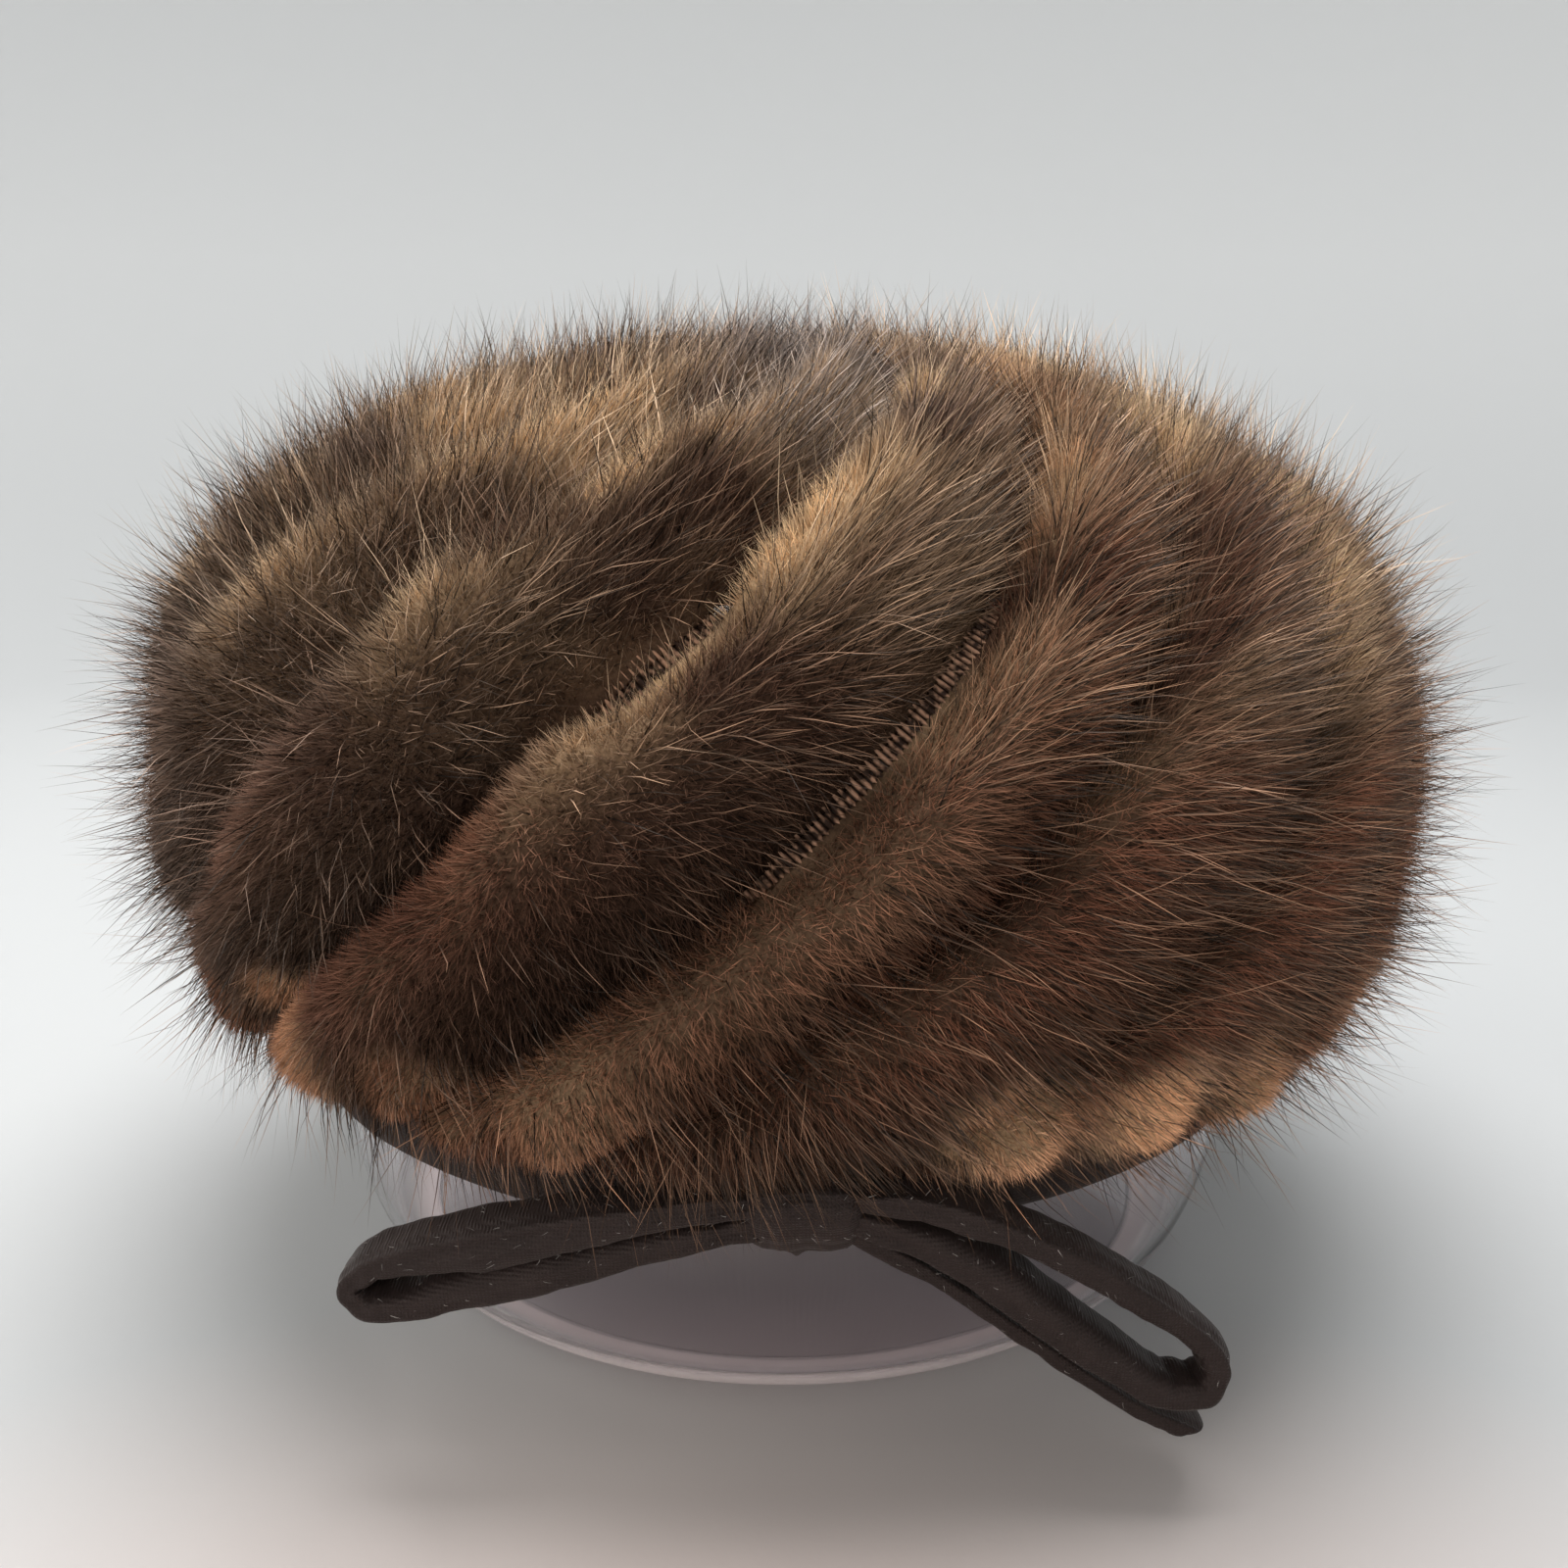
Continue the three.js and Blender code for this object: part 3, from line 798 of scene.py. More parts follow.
def length_of(tree, vector):
    return add_node(tree, "ShaderNodeVectorMath", {0: vector}, operation="LENGTH").outputs["Value"]


def combined(tree, x, y, z):
    return add_node(tree, "ShaderNodeCombineXYZ", {"X": x, "Y": y, "Z": z}).outputs[0]


def parts_of(tree, vector):
    return add_node(tree, "ShaderNodeSeparateXYZ", {0: vector}).outputs


def mix_colour(tree, share, first, second):
    node = add_node(tree, "ShaderNodeMix", data_type="RGBA")
    sockets = [socket for socket in node.inputs if socket.enabled]
    for socket, value in zip(sockets, (share, first, second)):
        set_input(tree, socket, (*value, 1.0) if isinstance(value, tuple) else value)
    return next(socket for socket in node.outputs if socket.enabled)


def read_attribute(tree, name):
    return add_node(tree, "ShaderNodeAttribute", attribute_name=name).outputs["Fac"]


def object_place(tree):
    return add_node(tree, "ShaderNodeTexCoord").outputs["Object"]


def noise_at(tree, place, scale, detail=2.0):
    noises = {"Vector": place, "Scale": scale, "Detail": detail}
    return add_node(tree, "ShaderNodeTexNoise", noises).outputs["Fac"]


def waves_at(tree, place, scale, distortion, way):
    waves = {"Vector": place, "Scale": scale, "Distortion": distortion}
    return add_node(tree, "ShaderNodeTexWave", waves, bands_direction=way).outputs["Fac"]


def set_relief(tree, shader, height, strength, distance):
    """Bumps a shader's surface by a height."""
    relief = {"Height": height, "Strength": strength, "Distance": distance}
    tree.links.new(add_node(tree, "ShaderNodeBump", relief).outputs[0], shader.inputs["Normal"])


def set_finish(shader, finish):
    """Sets a shader's constant inputs, colours as three numbers."""
    for name, value in finish.items():
        shader.inputs[name].default_value = (*value, 1) if isinstance(value, tuple) else value


def new_material(name):
    material = bpy.data.materials.new(name)
    material.use_nodes = True
    tree = material.node_tree
    return material, tree, tree.nodes["Principled BSDF"]


def fur_material(name, colours, finish):
    """Hair coloured from root to tip, paler, redder or greyer where the pelt says so, and darkened by
    painted shade. The pale share holds painted light from above and the grey share a painted sheen as well.
    """
    material, tree, shader = new_material(name)
    pale = read_attribute(tree, colours["pale by"])
    red = read_attribute(tree, "red")
    towards_tip = maths(tree, "POWER", read_attribute(tree, "along"), finish["from_root"])
    root = mix_colour(tree, pale, colours["root"], colours["pale root"])
    warm = maths(tree, "MULTIPLY_ADD", red, 2.5, -1.5, clamp=True)
    pale_tip = mix_colour(tree, warm, colours["pale tip"], colours["warm tip"])
    tip = mix_colour(tree, red, colours["tip"], colours["red tip"])
    tip = mix_colour(tree, pale, tip, pale_tip)
    tip = mix_colour(tree, read_attribute(tree, "grey"), tip, colours["grey tip"])
    colour = mix_colour(tree, towards_tip, root, tip)
    tone = maths(tree, "POWER", read_attribute(tree, "tone"), 2.0)
    strength = maths(tree, "MULTIPLY_ADD", tone, finish["tone_span"], finish["darkest_tone"])
    # painted shade: the fur darker where the pelt's dark share says it lies in shade
    painted_shade_factor = maths(tree, "MULTIPLY_ADD", read_attribute(tree, "dark"), -DEEPEST_PAINTED_SHADE, 1.0)
    colour = scaled(tree, colour, maths(tree, "MULTIPLY", strength, painted_shade_factor))
    tree.links.new(colour, shader.inputs["Base Color"])
    shine = {"Roughness": finish["roughness"], "Specular IOR Level": finish["specular"]}
    set_finish(shader, {**shine, "Specular Tint": FUR_SHINE})
    return material


def add_plush(material):
    """Fine uneven plush in the pelt's own surface, between the roots of its hair."""
    tree = material.node_tree
    shader = tree.nodes["Principled BSDF"]
    tuft = noise_at(tree, object_place(tree), PLUSH["scale"])
    set_relief(tree, shader, tuft, PLUSH["strength"], PLUSH["distance"])
    base = shader.inputs["Base Color"].links[0].from_socket
    patch = maths(tree, "MULTIPLY_ADD", tuft, PLUSH["span"], PLUSH["darkest"])
    tree.links.new(scaled(tree, base, patch), shader.inputs["Base Color"])


def new_tree(name, inputs, output):
    """An empty node tree with its named inputs and one geometry output, and what it is given."""
    tree = bpy.data.node_groups.new(name, "GeometryNodeTree")
    for label, kind, value in inputs:
        socket = tree.interface.new_socket(label, in_out="INPUT", socket_type="NodeSocket" + kind)
        if value is not None:
            socket.default_value = value
    tree.interface.new_socket(output, in_out="OUTPUT", socket_type="NodeSocketGeometry")
    return tree, tree.nodes.new("NodeGroupInput").outputs


def finish_tree(tree, geometry):
    tree.links.new(geometry, tree.nodes.new("NodeGroupOutput").inputs[0])
    return tree


def named(tree, name, kind="FLOAT"):
    return add_node(tree, "GeometryNodeInputNamedAttribute", {"Name": name}, data_type=kind).outputs[0]


def stored(tree, geometry, name, value):
    """The geometry with a value kept on its points."""
    kept = {"Geometry": geometry, "Name": name, "Value": value}
    return add_node(
        tree, "GeometryNodeStoreNamedAttribute", kept, data_type="FLOAT", domain="POINT"
    ).outputs[0]


def facing_way(tree, upwards, along):
    """The turn that sets a shape's Z upwards and its X along."""
    axes = {"Primary Axis": upwards, "Secondary Axis": along}
    return add_node(
        tree, "FunctionNodeAxesToRotation", axes, primary_axis="Z", secondary_axis="X"
    ).outputs[0]


def narrow_grid(tree, rows):
    """A square plate, two points wide and some rows long, with its places."""
    plate = {"Size X": 1.0, "Size Y": 1.0, "Vertices X": 2, "Vertices Y": maths(tree, "ADD", rows, 1.0)}
    grid = add_node(tree, "GeometryNodeMeshGrid", plate).outputs["Mesh"]
    return grid, parts_of(tree, tree.nodes.new("GeometryNodeInputPosition").outputs[0])


def set_out(tree, placing, material):
    """One shape set on many points, made real and given its material."""
    placed = add_node(tree, "GeometryNodeInstanceOnPoints", placing).outputs[0]
    real = add_node(tree, "GeometryNodeRealizeInstances", {"Geometry": placed}).outputs[0]
    return add_node(tree, "GeometryNodeSetMaterial", {"Geometry": real, "Material": material}).outputs[0]


def hair_layer_tree():
    """Scatters tapered, bent ribbons over a pelt, along its combed direction."""
    inputs = [
        ("Pelt", "Geometry", None),
        ("Cover", "String", "guard_cover"),
        ("Nap", "String", "guard_nap"),
        ("Density", "Float", 1e5),
        ("Length", "Float", 0.01),
        ("Shortest", "Float", 0.6),
        ("Width", "Float", 0.0002),
        ("Segments", "Int", 3),
        ("Bend", "Float", 0.2),
        ("Lean", "Float", 1.0),
        ("Clump Size", "Float", 0.005),
        ("Clump Pull", "Float", 0.5),
        ("Scatter", "Float", 0.2),
        ("Seed", "Int", 1),
        ("Material", "Material", None),
    ]
    tree, given = new_tree("hair layer", inputs, "Hair")

    def random(low, high, salt):
        node = add_node(tree, "FunctionNodeRandomValue", data_type="FLOAT")
        ends = [socket for socket in node.inputs if socket.enabled]
        set_input(tree, ends[0], low)
        set_input(tree, ends[1], high)
        set_input(tree, node.inputs["Seed"], maths(tree, "ADD", given["Seed"], salt))
        return next(socket for socket in node.outputs if socket.enabled)

    def random_vector(salt):
        return combined(tree, *(random(-1.0, 1.0, salt + n) for n in range(3)))

    density = maths(tree, "MULTIPLY", given["Density"], named(tree, given["Cover"]))
    scatter = add_node(
        tree,
        "GeometryNodeDistributePointsOnFaces",
        {"Mesh": given["Pelt"], "Density": density, "Seed": given["Seed"]},
        distribute_method="RANDOM",
    )
    place = tree.nodes.new("GeometryNodeInputPosition").outputs[0]
    lock_scale = maths(tree, "DIVIDE", 1.0, given["Clump Size"])
    clumps = {"Vector": place, "Scale": lock_scale, "Detail": LOCK_DETAIL}
    clump = add_node(tree, "ShaderNodeTexNoise", clumps).outputs
    lock_tone = maths(tree, "MULTIPLY_ADD", clump["Fac"], *LOCK_TONES)
    tone = maths(tree, "MULTIPLY_ADD", random(0.0, 1.0, HAIR_SALTS["tone"]), *HAIR_TONES)
    tone = maths(tree, "ADD", tone, maths(tree, "MULTIPLY", lock_tone, LOCK_SHARE), clamp=True)

    centred = vector_maths(tree, "SUBTRACT", clump["Color"], (0.5, 0.5, 0.5))
    pull = scaled(tree, centred, maths(tree, "MULTIPLY", given["Clump Pull"], 2.0))
    stray = scaled(tree, random_vector(HAIR_SALTS["stray"]), given["Scatter"])
    comb = named(tree, "comb", "FLOAT_VECTOR")
    direction = named(tree, "upright", "FLOAT_VECTOR")
    for turned in (scaled(tree, comb, given["Lean"]), vector_maths(tree, "ADD", pull, stray)):
        direction = vector_maths(tree, "ADD", direction, turned)
    direction = vector_maths(tree, "NORMALIZE", direction)
    turn = scaled(tree, random_vector(HAIR_SALTS["turn"]), HAIR_TURN)
    along = vector_maths(tree, "ADD", comb, turn)
    grown_share = random(given["Shortest"], 1.0, HAIR_SALTS["length"])
    tall = maths(tree, "MULTIPLY", given["Length"], grown_share)
    tall = maths(tree, "MULTIPLY", tall, named(tree, given["Nap"]))
    wide = maths(tree, "MULTIPLY", given["Width"], random(*HAIR_WIDTHS, HAIR_SALTS["width"]))

    ribbon, spot = narrow_grid(tree, given["Segments"])
    height = maths(tree, "ADD", spot["Y"], 0.5)
    ribbon = stored(tree, ribbon, "along", height)
    taper = maths(tree, "POWER", maths(tree, "SUBTRACT", 1.0, height, clamp=True), HAIR_TAPER)
    bowed = maths(tree, "MULTIPLY", given["Bend"], maths(tree, "POWER", height, 2.0))
    shape = combined(tree, bowed, maths(tree, "MULTIPLY", spot["X"], taper), height)
    bent = add_node(tree, "GeometryNodeSetPosition", {"Geometry": ribbon, "Position": shape}).outputs[0]
    hair = add_node(tree, "GeometryNodeMergeByDistance", {"Geometry": bent, "Distance": 0.01}).outputs[0]
    placing = {
        "Points": stored(tree, scatter.outputs["Points"], "tone", tone),
        "Instance": hair,
        "Rotation": facing_way(tree, direction, along),
        "Scale": combined(tree, tall, wide, tall),
    }
    return finish_tree(tree, set_out(tree, placing, given["Material"]))


def fur_tree(layer_tree, layers, materials):
    """Every layer of hair over one pelt, joined with the pelt itself."""
    tree, given = new_tree("fur", [("Pelt", "Geometry", None), ("Seed", "Int", 1)], "Fur")
    joined = tree.nodes.new("GeometryNodeJoinGeometry")
    for name, seed, *values in layers:
        inputs = dict(zip(LAYER_INPUTS, values))
        inputs["Pelt"] = given["Pelt"]
        inputs["Seed"] = maths(tree, "ADD", given["Seed"], float(seed))
        inputs["Material"] = materials[name]
        node = add_node(tree, "GeometryNodeGroup", inputs, node_tree=layer_tree)
        tree.links.new(node.outputs["Hair"], joined.inputs[0])
    tree.links.new(given["Pelt"], joined.inputs[0])
    return finish_tree(tree, joined.outputs[0])


def grown(made, tree, values):
    """The object with a node tree's result as its own plain mesh."""
    modifier = made.modifiers.new("growth", "NODES")
    modifier.node_group = tree
    for item in tree.interface.items_tree:
        if item.item_type == "SOCKET" and item.in_out == "INPUT" and item.name in values:
            modifier[item.identifier] = values[item.name]
    graph = bpy.context.evaluated_depsgraph_get()
    shown = made.evaluated_get(graph)
    mesh = bpy.data.meshes.new_from_object(shown, preserve_all_data_layers=True, depsgraph=graph)
    made.modifiers.remove(modifier)
    plain = made.data
    made.data = mesh
    bpy.data.meshes.remove(plain)
    mesh.name = made.name
    return made


def write_attributes(mesh, values_by_name):
    for name, values in values_by_name.items():
        write_attribute(mesh, name, values)


def write_attribute(mesh, name, values):
    """Keeps a number or a direction for each point of a mesh."""
    values = np.asarray(values, np.float32)
    kind = "FLOAT_VECTOR" if values.ndim == 2 else "FLOAT"
    attribute = mesh.attributes.new(name, kind, "POINT")
    attribute.data.foreach_set("vector" if values.ndim == 2 else "value", values.ravel())


def hem_pads():
    """Every soft pad round the hem: those in front, then evenly on to the far side."""
    pads = list(HEM_PADS)
    count = round((FAR_PADS["to"] - FAR_PADS["from"]) / FAR_PADS["step"])
    for k in range(count + 1):
        azimuth = FAR_PADS["from"] + k * FAR_PADS["step"]
        half_width = FAR_PADS["half_width"] + FAR_PADS["uneven"] * math.sin(k * 2.4)
        tan = FAR_PADS["tan"] + FAR_PADS["uneven_tan"] * math.cos(k * 1.7)
        pad = {"azimuth": azimuth, "half_width": half_width, "tan": tan, "height": FAR_PADS["height"]}
        pads.append(pad)
    return pads


def pelt_pads(number, azimuth, length):
    """Height share and tan share of the soft pads at the hem."""
    radius, _, _, _ = read_meridian(length)
    raised, tan = np.zeros_like(azimuth), np.zeros_like(azimuth)
    for pad in hem_pads():
        if pad.get("strip", number) != number:
            continue
        half_length = pad.get("half_length", PAD_HALF_LENGTH)
        up = (length - HEM_LENGTH - PAD_UP - half_length + PAD_HALF_LENGTH) / half_length
        away = np.angle(np.exp(1j * (azimuth - math.radians(pad["azimuth"]))))
        side = away * radius / pad["half_width"]
        dome = np.clip(1 - side**2 - up**2, 0, 1)
        raised = np.maximum(raised, dome**PAD_SQUARENESS * pad["height"])
        tan = np.maximum(tan, smooth(dome * PAD_EDGE) * pad["tan"])
    return raised, tan


def bare_seam(number, from_left, from_right, length, fade):
    """1 beside a stretch of seam where the ribbed cloth shows, for the strips on its two sides."""
    bare = np.zeros_like(from_left)
    for stretch in BARE_SEAMS:
        left_strip = stretch["strip"] + 1 if stretch["strip"] < len(STRIPS) else 1
        for side, owner in ((from_left, stretch["strip"]), (from_right, left_strip)):
            if owner != number:
                continue
            inside = rise(length, stretch["start"], BARE_END) * fall(length, stretch["end"], BARE_END)
            bare = np.maximum(bare, inside * (1 - smooth((side - stretch["width"] * 0.5) / fade)))
    return bare


def seam_closed(number, length):
    """How far the fur closes over a level strip's left seam: it lies open in short gaps."""
    row = STRIPS[number - 1]
    apart = np.full_like(length, number * SEAM_GAPS["apart"])
    along = np.stack([length, apart, np.zeros_like(length)], axis=-1)
    uneven = lumps(along, SEAM_GAPS["spacing"], SEAM_GAPS["seed"])
    return smooth(SEAM_GAPS["closed"] + SEAM_GAPS["uneven"] * uneven) * level_share(row)


def level_share(row):
    """1 for a strip with no ridge beside its seam, 0 for a ridged one."""
    return fall(row["ridge"], LEVEL_STRIP["below"], LEVEL_STRIP["fade"])


def ridge_by_height(z):
    """The ridges stand highest on the upper half and sink towards the hem."""
    return RIDGE_AT_HEM + RIDGE_ABOVE * rise(z, *FUR_HEIGHTS["ridges rise"])


def pelt_grid(number):
    """Where the points of a strip's pelt lie, along it, across it and from its two seams."""
    lengths = np.linspace(HEM_LENGTH, TOP_LENGTH, PELT_ROWS)
    ease = 0.5 - 0.5 * np.cos(np.linspace(0, math.pi, PELT_COLUMNS))
    across_top = 0.5 * ease + 0.5 * np.linspace(0, 1, PELT_COLUMNS)
    across_under = np.linspace(1, 0, PELT_UNDER + 2)[1:-1]
    across = np.concatenate([across_top, across_under])
    left, right = strip_sides(number, lengths)
    width = (right - left) * read_meridian(lengths)[0]
    half_gap = np.minimum(SEAM_HALF_GAP, SEAM_GAP_SHARE * width)
    inner = (width - 2 * half_gap)[:, None]
    from_left = across[None, :] * inner
    share = (half_gap[:, None] + from_left) / width[:, None]
    return {
        "lengths": lengths,
        "length": np.repeat(lengths[:, None], len(across), axis=1),
        "azimuth": left[:, None] + (right - left)[:, None] * share,
        "side": share,
        "inner": inner,
        "from_left": from_left,
        "from_right": (1 - across[None, :]) * inner,
        "on_top": (np.arange(len(across)) < PELT_COLUMNS)[None, :],
        "roundness": np.minimum(width / ROUND_WIDTH, 1)[:, None],
    }


def pelt_mound(number, row, grid, base):
    """How high the pelt stands across a strip, as a share of the fur's full depth."""
    roundness = grid["roundness"]
    wander = lumps(base, RIDGE_WANDER_SIZE, number + STRIP_SEEDS["ridge"])
    astray = grid["side"] + RIDGE_WANDER * wander * roundness
    level = np.interp(astray, PELT_ACROSS, PELT_LEVEL)
    ridged = np.interp(astray, PELT_ACROSS, PELT_RIDGED)
    ridge = row["ridge"] * ridge_by_height(base[..., 2])
    mound = 1 - (1 - level - (ridged - level) * ridge) * roundness
    uneven = lumps(base, RIDGE_WANDER_SIZE, number + STRIP_SEEDS["height"])
    return mound * (1 + RIDGE_UNEVEN * uneven)


def rise_from_seams(row, grid, base):
    """How far the pelt has come up out of the valleys at its two seams."""
    inner = grid["inner"]
    low = row["ridge"] * fall(base[..., 2], LOW_SHOULDER["from_z"], LOW_SHOULDER["fade"])
    left_width = VALLEY["left"] + LOW_SHOULDER["width"] * low
    left_most = (VALLEY["left_share"] + LOW_SHOULDER["share"] * low) * inner
    right_most = VALLEY["right_share"] * inner
    rise_left = np.clip(grid["from_left"] / np.minimum(left_width, left_most), 0, 1)
    rise_right = np.clip(grid["from_right"] / np.minimum(VALLEY["right"], right_most), 0, 1)
    return np.minimum(rise_left, rise_right)


def make_pelt(number, material):
    """One strip's pelt, with the attributes that its hair reads."""
    row = STRIPS[number - 1]
    grid = pelt_grid(number)
    lengths, length, azimuth = grid["lengths"], grid["length"], grid["azimuth"]
    from_left, from_right, roundness = grid["from_left"], grid["from_right"], grid["roundness"]
    by_left = from_left < from_right
    base = over_crown(azimuth, length, 0.0)
    mound = pelt_mound(number, row, grid, base)
    edge = rise_from_seams(row, grid, base)
    raised, tan = pelt_pads(number, azimuth, length)
    left_closed = seam_closed(number, length)
    right_closed = seam_closed(number - 1 or len(STRIPS), length)
    closed = np.where(by_left, left_closed, right_closed)
    bare = bare_seam(number, from_left, from_right, length, BARE_FADE)
    near_bare = bare_seam(number, from_left, from_right, length, NEAR_BARE_FADE)

    valley = np.sqrt(1 - (1 - edge) ** 2)
    valley = np.maximum(valley, VALLEY["closed"] * closed * np.sqrt(np.clip(edge * 4, 0, 1)))
    by_pad = smooth(raised * 1.3) * VALLEY["by_pad"]
    valley = np.maximum(valley, by_pad * np.sqrt(np.clip(edge * 3, 0, 1)))

    up = lengths - HEM_LENGTH
    depth = np.interp(up, HEM_UP, HEM_DEPTH)[:, None]
    droop = np.interp(up, HEM_UP, HEM_DROOP)[:, None]
    high = np.maximum(lengths - EQUATOR_LENGTH, 0) / (MERIDIAN["total"] - EQUATOR_LENGTH)
    full = depth * (FUR_DEPTH + (FUR_DEPTH_AT_TOP - FUR_DEPTH) * high)[:, None]
    flattened = near_bare * np.where(by_left, BARE_FLATTENS["left"], BARE_FLATTENS["right"])
    body = np.maximum(full * mound * PELT_SHARE * (1 - flattened), raised * PAD_HEIGHT)
    lump = PELT_LUMP * lumps(base, PELT_LUMP_SIZE, number) * roundness
    standing = np.maximum(body + lump - BACKING_GAP, PELT_LEAST)
    height = BACKING_GAP + standing * valley * (1 - BARE_FLATTENS["bare"] * bare)
    height = np.where(grid["on_top"], height, BACKING_GAP * PELT_UNDERSIDE)

    lift = bow_lift(azimuth)
    hang = droop * mound * (1 - BOW_LIFT["droop_share"] * lift) * grid["on_top"]
    lifted = length + BOW_LIFT["rise"] * np.clip(1 - up / HEM_UP[3], 0, 1)[:, None] * lift
    rings = over_crown(azimuth, lifted, height, hang)
    points, faces = closed_loft(rings)
    made = mesh_object(f"fur_{number:02d}", points, faces, material)

    gap = (1 - closed) * smooth(1 - np.minimum(from_left, from_right) / SEAM_GAPS["half_width"])
    grids = {
        "azimuth": azimuth,
        "length": lifted,
        "side": grid["side"],
        "edge": edge,
        "pad": raised,
        "tan": tan,
        "bare": bare,
        "near_bare": near_bare,
        "on_top": grid["on_top"] * 1.0,
        "left_of_seam": (from_right < from_left) * 1.0,
        "gap": gap * level_share(row),
        "blotch": lumps(rings, BLOTCH_SIZE, number + STRIP_SEEDS["blotch"]),
        "wander": lumps(rings, WANDER_SIZE, number + STRIP_SEEDS["wander"]),
    }
    spots = {}
    for name, values in grids.items():
        flat = np.broadcast_to(values, length.shape).reshape(-1)
        spots[name] = np.concatenate([flat, [flat[0], flat[-1]]])
    comb_pelt(made.data, row, spots)
    colour_pelt(made.data, row, spots)
    return made


def over_bow(spots, z):
    """1 above the knot at the hem, where the hair hangs down over it."""
    away = (np.degrees(spots["azimuth"]) - BOW_COMB["azimuth"]) / BOW_COMB["spread"]
    return np.exp(-(away**2)) * fall(z, BOW_COMB["top_z"], BOW_COMB["top_z"] - BOW_COMB["foot_z"])


def velvet_at(row, side, z):
    """How bare of guard hair the lower part of a strip is, most of all beside its left seam."""
    beside = VELVET["most"] * fall(side, VELVET["end"], VELVET["fade"])
    across = np.maximum(beside, VELVET["by_ridge"] * row["ridge"])
    foot = VELVET["at_hem"] + (1 - VELVET["at_hem"]) * rise(z, *FUR_HEIGHTS["velvet starts"])
    return row["velvet"] * across * fall(z, *FUR_HEIGHTS["velvet ends"]) * foot


def comb_pelt(mesh, row, spots):
    """Which way the hair lies, how long it is and how thickly it stands."""
    normals = np.zeros(len(mesh.vertices) * 3, np.float32)
    mesh.vertices.foreach_get("normal", normals)
    normals = normals.reshape(-1, 3)
    side, wander, near_bare = spots["side"], spots["wander"], spots["near_bare"]
    outwards, around, upwards = crown_axes(spots["azimuth"], spots["length"])
    z = read_meridian(spots["length"])[1]
    ridge = row["ridge"] * ridge_by_height(z)
    by_bow = over_bow(spots, z)
    shown_pad = smooth(spots["pad"] * PAD_EDGE)
    velvet = velvet_at(row, side, z)

    # The hair leans over to the right, from an upright ridge where the strip has one
    start = LEAN["start"] - LEAN["start"] * ridge
    far_ridge = ridge * rise(side, LEAN["ridge_from"], LEAN["ridge_width"])
    by_bare = near_bare * spots["left_of_seam"]
    leaning = start + (1 - start) * smooth(side / LEAN["full_at"])
    leaning = leaning * (1 - LEAN["ridge"] * far_ridge) * (1 - LEAN["bare"] * by_bare)
    leaning = leaning + LEAN["wander"] * wander
    comb_up = COMB_UP_AT_HEM + (COMB_UP_AT_TOP - COMB_UP_AT_HEM) * rise(z, *FUR_HEIGHTS["hair turns up"])
    comb_up = comb_up + LEAN["wander"] * wander - BOW_COMB["down"] * by_bow
    comb_up = comb_up - LEAN["hem"] * fall(z, *FUR_HEIGHTS["hem"])
    less_round = 1 - LEAN["top"] * rise(z, *FUR_HEIGHTS["hair lies less round"])
    comb_round = COMB_ROUND * leaning * (1 + LEAN["bow"] * by_bow) * less_round
    comb = around * comb_round[:, None] + upwards * comb_up[:, None]

    # Guard hair is thin over pads, light seam edges, velvet and gaps
    cover = spots["on_top"] * (1 - COVER["bare"] * spots["bare"])
    light_edge = smooth(1 - side / COVER["light_width"]) * rise(z, *FUR_HEIGHTS["light roots start"])
    bald = shown_pad * np.clip(spots["tan"] * COVER["tan"], COVER["least_tan"], 1)
    guard = row["guard"] * cover * (1 - (COVER["pad"] - COVER["pad_by_bow"] * by_bow) * bald)
    guard = guard * (1 - COVER["light"] * row["pale"] * light_edge)
    guard = guard * (1 - velvet * (1 - by_bow)) * (1 - COVER["gap"] * spots["gap"])
    down = cover * (1 + COVER["down_pad"] * shown_pad + COVER["down_velvet"] * velvet)

    # Both are shorter by a ridge's seams and beside bare cloth
    by_left = 1 - NAP["ridge"] * ridge * smooth(1 - side / NAP["left_width"])
    by_right = 1 - NAP["ridge"] * ridge * rise(side, NAP["right_from"], NAP["right_width"])
    at_top = 1 - NAP["top"] * rise(z, *FUR_HEIGHTS["hair is shorter"])
    guard_nap = by_left * by_right * (1 - NAP["bare"] * near_bare) * (1 - NAP["bow"] * by_bow) * at_top
    down_nap = (1 - NAP["down_pad"] * shown_pad) * (1 - NAP["down_bare"] * near_bare)
    made = {
        "comb": comb,
        "upright": unit(LEAN["by_pelt"] * normals + LEAN["by_crown"] * outwards),
        "guard_cover": guard,
        "down_cover": down,
        "guard_nap": guard_nap,
        "down_nap": down_nap * (NAP["down_at_seam"] + NAP["down_off_seam"] * spots["edge"]),
    }
    write_attributes(mesh, made)


def pale_share(row, spots, z, ridge):
    """Where light underfur shows, with painted light from above: along the left seams, and in patches over
    the top.
    """
    side, blotch, wander = spots["side"], spots["blotch"], spots["wander"]
    patchy = PALE["patch"] + PALE["patch_wander"] * wander + PALE["patch_blotch"] * blotch
    patchy = np.clip(patchy, 0, PALE["patch_most"])
    frayed = side + PALE["edge_blotch"] * blotch + PALE["edge_wander"] * wander
    seam_edge = smooth(1 - frayed / PALE["edge_width"]) ** PALE["edge_power"]
    high = PALE["edge_low"] + (1 - PALE["edge_low"]) * rise(z, *FUR_HEIGHTS["pale edge starts"])
    wash = (PALE["wash"] + PALE["wash"] * (1 - ridge)) * rise(z, *FUR_HEIGHTS["pale wash starts"])
    pale = row["pale"] * seam_edge * high * patchy + wash * patchy + PALE["blotch"] * blotch
    # the wash over the upper half and the paler top are painted light from above
    return pale + PALE["top"] * rise(z, *FUR_HEIGHTS["pale top"]) * patchy ** PALE["top_power"]


